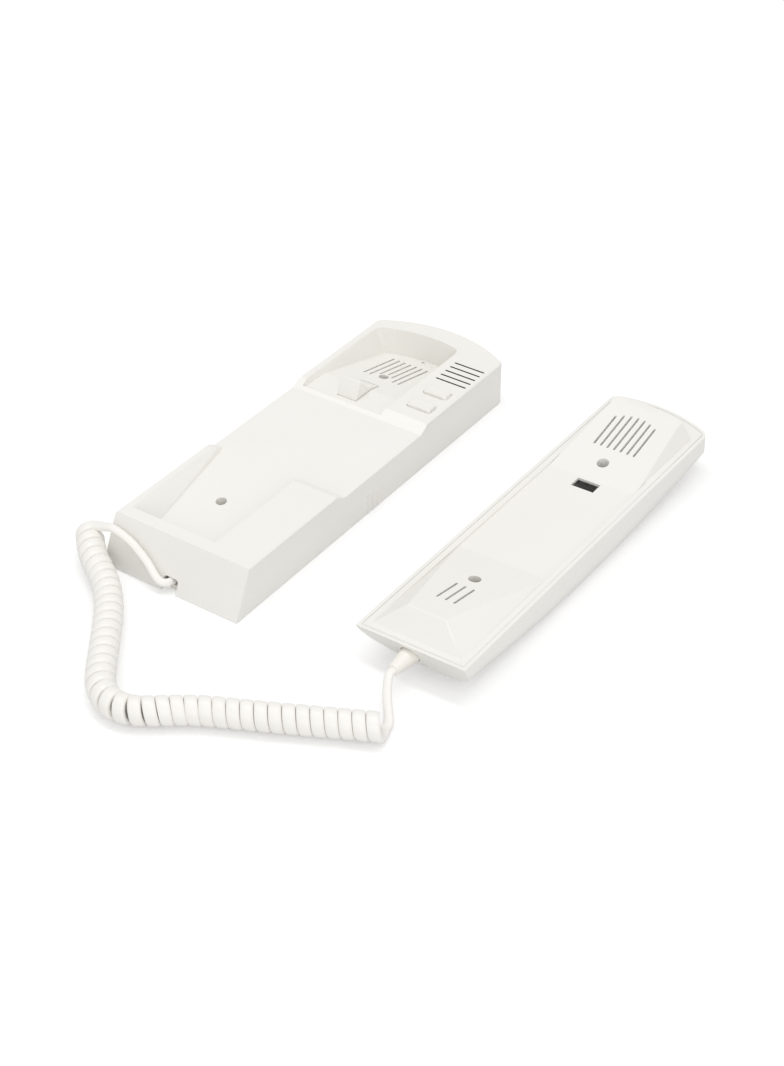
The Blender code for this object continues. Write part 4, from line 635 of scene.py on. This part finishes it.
# ---- operators ---------------------------------------------------------------------
class TELEPHONE_OT_camera(bpy.types.Operator):
    """Sets the camera where the photograph was taken from"""
    bl_idname = "telephone.camera"
    bl_label = "Camera"

    def execute(self, context):
        data = bpy.data.cameras.new("camera")
        data.sensor_fit = "VERTICAL"
        data.sensor_height = 36
        data.sensor_width = 36
        data.lens = context.scene.telephone_stage.lens
        camera = bpy.data.objects.new("camera", data)
        camera.location = (0.4417, -0.5845, 0.5086)
        aim = Vector((0.05164, -0.01931, 0)) - camera.location
        camera.rotation_euler = aim.to_track_quat("-Z", "Y").to_euler()
        camera.rotation_euler.rotate_axis("Z", radians(0.03))
        context.scene.collection.objects.link(camera)
        context.scene.camera = camera
        return {"FINISHED"}


class TELEPHONE_OT_cord(bpy.types.Operator):
    """Winds the curly cord from the base to the handset"""
    bl_idname = "telephone.cord"
    bl_label = "Curly cord"

    def execute(self, context):
        settings = context.scene.telephone_cord
        low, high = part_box("cord_grip")
        hole = Vector(((low.x + high.x) / 2, low.y - 0.3 * MM, low.z + WIRE / 2))
        boot_tip, boot_axis = boot_end()
        points, widths, coiled = cord_line(settings, boot_tip, boot_axis, hole)
        cord = ribbon("curly_cord", points, widths, coiled, settings, finish("jacket"))
        length = sum((b - a).length for a, b in zip(points, points[1:]))
        print("cord length %.4f m, %d rings" % (length, len(points)))
        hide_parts("cord_base_tail", "cord_coil", "cord_handset_tail")
        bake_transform(cord)
        return {"FINISHED"}


def boot_end():
    """The middle of the boot's small end, and the direction in which the cord leaves it."""
    low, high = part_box("handset_boot")
    verts = [v.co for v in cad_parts["handset_boot"].data.vertices]
    tip = min(v.y for v in verts)
    root = max(v.y for v in verts)
    small = [v for v in verts if v.y < tip + 0.15 * MM]
    large = [v for v in verts if v.y > root - 0.15 * MM]
    end = sum(small, Vector()) / len(small)
    start = sum(large, Vector()) / len(large)
    return end, (end - start).normalized()


class TELEPHONE_OT_housing(bpy.types.Operator):
    """Rounds the edges of the base's moulded cover"""
    bl_idname = "telephone.housing"
    bl_label = "Base housing"

    def execute(self, context):
        settings = context.scene.telephone_moulding
        low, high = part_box("base_cover")
        work = copied("base_cover")
        # Rounding faces of the end wall's top edges that face upwards get the painted highlight.
        rounded(work, creases(work, 20, on_end_wall(low, high)), settings.housing_round, 3,
                lambda face: face.normal.z > 0.2)
        for vert in work.verts:
            if vert.co.x > high.x - 0.1 * MM:
                vert.co.x += settings.rib_lift
        obj = shown(work, "base_housing", finish("cover"))
        seat(obj, "base", "base_cover")
        return {"FINISHED"}


def longer(least):
    return lambda edge: edge.calc_length() > least


def on_end_wall(low, high):
    """Tests for the long edges round the leaning end wall, but for its foot."""
    lean = 10.0 / 21.0

    def test(edge):
        ends = [vert.co for vert in edge.verts]
        on = all(abs(end.y - low.y - lean * end.z) < 0.05 * MM for end in ends)
        return on and max(end.z for end in ends) > high.z * 0.6 and edge.calc_length() > 4 * MM
    return test


class TELEPHONE_OT_hook(bpy.types.Operator):
    """Rounds the hook lever"""
    bl_idname = "telephone.hook"
    bl_label = "Hook"

    def execute(self, context):
        work = copied("hook_lever")
        rounded(work, creases(work, 20, longer(1.5 * MM)), 0.25 * MM, 2)
        low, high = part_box("hook_lever")
        pivot = (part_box("hook_pin")[0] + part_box("hook_pin")[1]) / 2
        shelf = bmesh.ops.create_cube(work, size=1.0)["verts"]
        size = Vector((high.x - low.x + 0.2 * MM, 12.3 * MM, 0.5 * MM))
        centre = Vector((pivot.x - 0.12 * MM, pivot.y - 6.35 * MM, pivot.z + 9.35 * MM))
        for vert in shelf:
            vert.co = centre + Vector(a * b for a, b in zip(vert.co, size))
        seat(shown(work, "hook", finish("housing")), "hook", "hook_lever")
        return {"FINISHED"}


class TELEPHONE_OT_buttons(bpy.types.Operator):
    """Rounds the two buttons"""
    bl_idname = "telephone.buttons"
    bl_label = "Buttons"

    def execute(self, context):
        for node in ("lower_button", "upper_button"):
            work = copied(node)
            up = Vector((0, 0, 1))
            ring = seam_wall(work, up, lambda face: face.calc_center_median().z)
            close_seam(work, ring, up, 1.0 * MM, 0.26 * MM)
            obj = shown(work, node + "_cap", finish("key"))
            seat(obj, node, node)
        return {"FINISHED"}


class TELEPHONE_OT_handset(bpy.types.Operator):
    """Rounds the handset's back shell, its inner face and the boot"""
    bl_idname = "telephone.handset"
    bl_label = "Handset"

    def execute(self, context):
        settings = context.scene.telephone_moulding
        shell = shown(copied("handset_back"), "handset_shell", finish("housing"), False)
        seat(shell, "handset", "handset_back")
        low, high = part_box("handset_front")
        work = copied("handset_front")

        # Rounding faces of the mouth's ridges that face the near end get the painted highlight.
        def on_mouth_ridge(face):
            return face.normal.y < -0.12 and face.calc_center_median().y < low.y + 25 * MM
        raised = low.z + (high.z - low.z) * 0.6

        def on_bump(edge):
            return edge.calc_length() > 2.5 * MM and max(vert.co.z for vert in edge.verts) > raised
        rounded(work, creases(work, 12, on_bump, 0.38 * MM), settings.ridge_round, 4, on_mouth_ridge)
        group = flat_groups(work)
        widest = max(work.faces, key=lambda face: sum(part.calc_area() for part in group[face][0]))
        up = group[widest][2] * (1 if group[widest][2].z > 0 else -1)
        middle = (low.x + high.x) / 2
        ring = seam_wall(work, up, lambda face: abs(face.calc_center_median().x - middle))
        close_seam(work, ring, up, 0.18 * MM, 0.27 * MM)
        face = shown(work, "handset_face", finish("housing"))
        seat(face, "handset", "handset_front")
        boot = shown(copied("handset_boot"), "strain_relief", finish("boot"), False, 40)
        seat(boot, "handset", "handset_boot")
        return {"FINISHED"}


def seam_wall(work, up, outermost):
    """The upright wall that runs round a piece, found from the face where outermost is greatest."""
    upright = {face for face in work.faces if -0.62 < face.normal.dot(up) < 0.3}
    ring = [max(upright, key=outermost)]
    found = set(ring)
    for face in ring:
        for edge in face.edges:
            for other in edge.link_faces:
                if other in upright and other not in found:
                    found.add(other)
                    ring.append(other)
    return ring


def close_seam(work, ring, up, depth, reach):
    """Let a piece's wall stand out below the surface, so the seam round it is a shallow groove."""
    rim = max(vert.co.dot(up) for face in ring for vert in face.verts) - depth
    pieces = list({part for face in ring for part in list(face.verts) + list(face.edges)}) + ring
    halves = bmesh.ops.bisect_plane(work, geom=pieces, plane_co=up * rim, plane_no=up)["geom"]
    lower = [part for part in halves if isinstance(part, bmesh.types.BMFace)
             and part.calc_center_median().dot(up) < rim]
    outward = {}
    for face in lower:
        level = (face.normal - up * face.normal.dot(up)).normalized()
        for vert in face.verts:
            known = outward.setdefault(vert.co.copy().freeze(), [])
            if all(level.angle(other) > radians(3) for other in known):
                known.append(level)
    made = bmesh.ops.extrude_face_region(work, geom=lower)["geom"]
    for vert in made:
        if isinstance(vert, bmesh.types.BMVert):
            known = outward[vert.co.copy().freeze()]
            away = sum(known, Vector()).normalized()
            vert.co += away * reach / max(0.5, away.dot(known[0]))
    bmesh.ops.recalc_face_normals(work, faces=work.faces)


class TELEPHONE_OT_works(bpy.types.Operator):
    """Gives the pieces that are kept from the frame their finishes"""
    bl_idname = "telephone.works"
    bl_label = "Inner works"

    def execute(self, context):
        looks = {
            "plate": ("wall_plate", "cord_grip"),
            "steel": ("ringer_speaker", "hook_pin", "cover_screw_lower", "cover_screw_upper",
                      "microphone_capsule", "handset_screw_lower", "earpiece_capsule"),
            # The upper screw gets the darker steel copy, painted shade for its hole.
            "shaded_steel": ("handset_screw_upper",),
            "brass": tuple("terminal_screw_%d" % i for i in range(1, 6)),
            "black": ("lower_button_switch", "upper_button_switch", "hook_switch"),
            "laminate": ("circuit_board", "terminal_block"),
            "foam": ("microphone_sleeve",),
        }
        for look, nodes in looks.items():
            for node in nodes:
                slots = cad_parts[node].material_slots
                for slot in slots:
                    slot.material = finish(look)
        return {"FINISHED"}


class TELEPHONE_OT_stage(bpy.types.Operator):
    """Sets the floor, the lamps and the sky"""
    bl_idname = "telephone.stage"
    bl_label = "Stage"

    def execute(self, context):
        settings = context.scene.telephone_stage
        self.floor(settings)
        self.sky(context.scene, settings)
        self.lamp("key", (-0.06, 0.02, 1.25), (-0.06, 0.02, 0.0), (1.5, 0.22), settings.key)
        self.lamp("fill", (0.90, -1.10, 0.60), (0.05, 0.0, 0.0), (1.0, 1.0), settings.fill)
        context.scene.view_settings.view_transform = "Standard"
        return {"FINISHED"}

    @staticmethod
    def floor(settings):
        mesh = bpy.data.meshes.new("floor")
        mesh.from_pydata([(-4, -4, 0), (4, -4, 0), (4, 4, 0), (-4, 4, 0)], [], [(0, 1, 2, 3)])
        look = Finish("floor_paper", Roughness=0.9)
        look.shader.inputs["Specular IOR Level"].default_value = 0.0
        look.shader.inputs["Emission Strength"].default_value = settings.glow
        seen = look.node("ShaderNodeLightPath")
        look.drive(Emission_Color=look.mix(seen, (0, 0, 0, 1), (1, 1, 1, 1)))
        fibres = look.noise(500, 2, 0.5)
        look.drive(Base_Color=look.mix(fibres, rgba(settings.floor), rgba([c * 0.985 for c in settings.floor])))
        obj = link("floor", mesh, look.material)
        obj.location.z = -0.0002

    @staticmethod
    def sky(scene, settings):
        world = bpy.data.worlds.new("studio")
        scene.world = world
        world.use_nodes = True
        shade = world.node_tree.nodes["Background"]
        shade.inputs["Color"].default_value = (1, 1, 1, 1)
        shade.inputs["Strength"].default_value = settings.sky

    @staticmethod
    def lamp(name, place, aim, size, strength):
        data = bpy.data.lights.new(name, "AREA")
        data.shape = "RECTANGLE"
        data.size, data.size_y = size
        data.energy = strength * 4
        obj = bpy.data.objects.new(name, data)
        obj.location = place
        obj.rotation_euler = (Vector(aim) - Vector(place)).to_track_quat("-Z", "Y").to_euler()
        bpy.context.scene.collection.objects.link(obj)


class TELEPHONE_PT_panel(bpy.types.Panel):
    """Lists the telephone's makers and settings"""
    bl_idname = "TELEPHONE_PT_panel"
    bl_label = "Slim wall telephone"
    bl_space_type = "VIEW_3D"
    bl_region_type = "UI"
    bl_category = "Telephone"

    def draw(self, context):
        scene = context.scene
        for operator in OPERATORS:
            self.layout.operator(operator.bl_idname)
        for group in (scene.telephone_moulding, scene.telephone_cord, scene.telephone_stage):
            box = self.layout.box()
            for name in group.__annotations__:
                box.prop(group, name)


OPERATORS = (TELEPHONE_OT_camera, TELEPHONE_OT_cord, TELEPHONE_OT_housing, TELEPHONE_OT_hook,
             TELEPHONE_OT_buttons, TELEPHONE_OT_handset, TELEPHONE_OT_works, TELEPHONE_OT_stage)
GROUPS = (("telephone_moulding", MouldingSettings), ("telephone_cord", CordSettings),
          ("telephone_stage", StageSettings))


def register():
    for name, group in GROUPS:
        bpy.utils.register_class(group)
        setattr(bpy.types.Scene, name, PointerProperty(type=group))
    for operator in OPERATORS:
        bpy.utils.register_class(operator)
    bpy.utils.register_class(TELEPHONE_PT_panel)


def unregister():
    bpy.utils.unregister_class(TELEPHONE_PT_panel)
    for operator in reversed(OPERATORS):
        bpy.utils.unregister_class(operator)
    for name, group in reversed(GROUPS):
        delattr(bpy.types.Scene, name)
        bpy.utils.unregister_class(group)


def main():
    register()
    bpy.ops.telephone.camera()
    bpy.ops.telephone.cord()
    bpy.ops.telephone.housing()
    bpy.ops.telephone.hook()
    bpy.ops.telephone.buttons()
    bpy.ops.telephone.handset()
    bpy.ops.telephone.works()
    bpy.ops.telephone.stage()


if __name__ == "__main__":
    main()
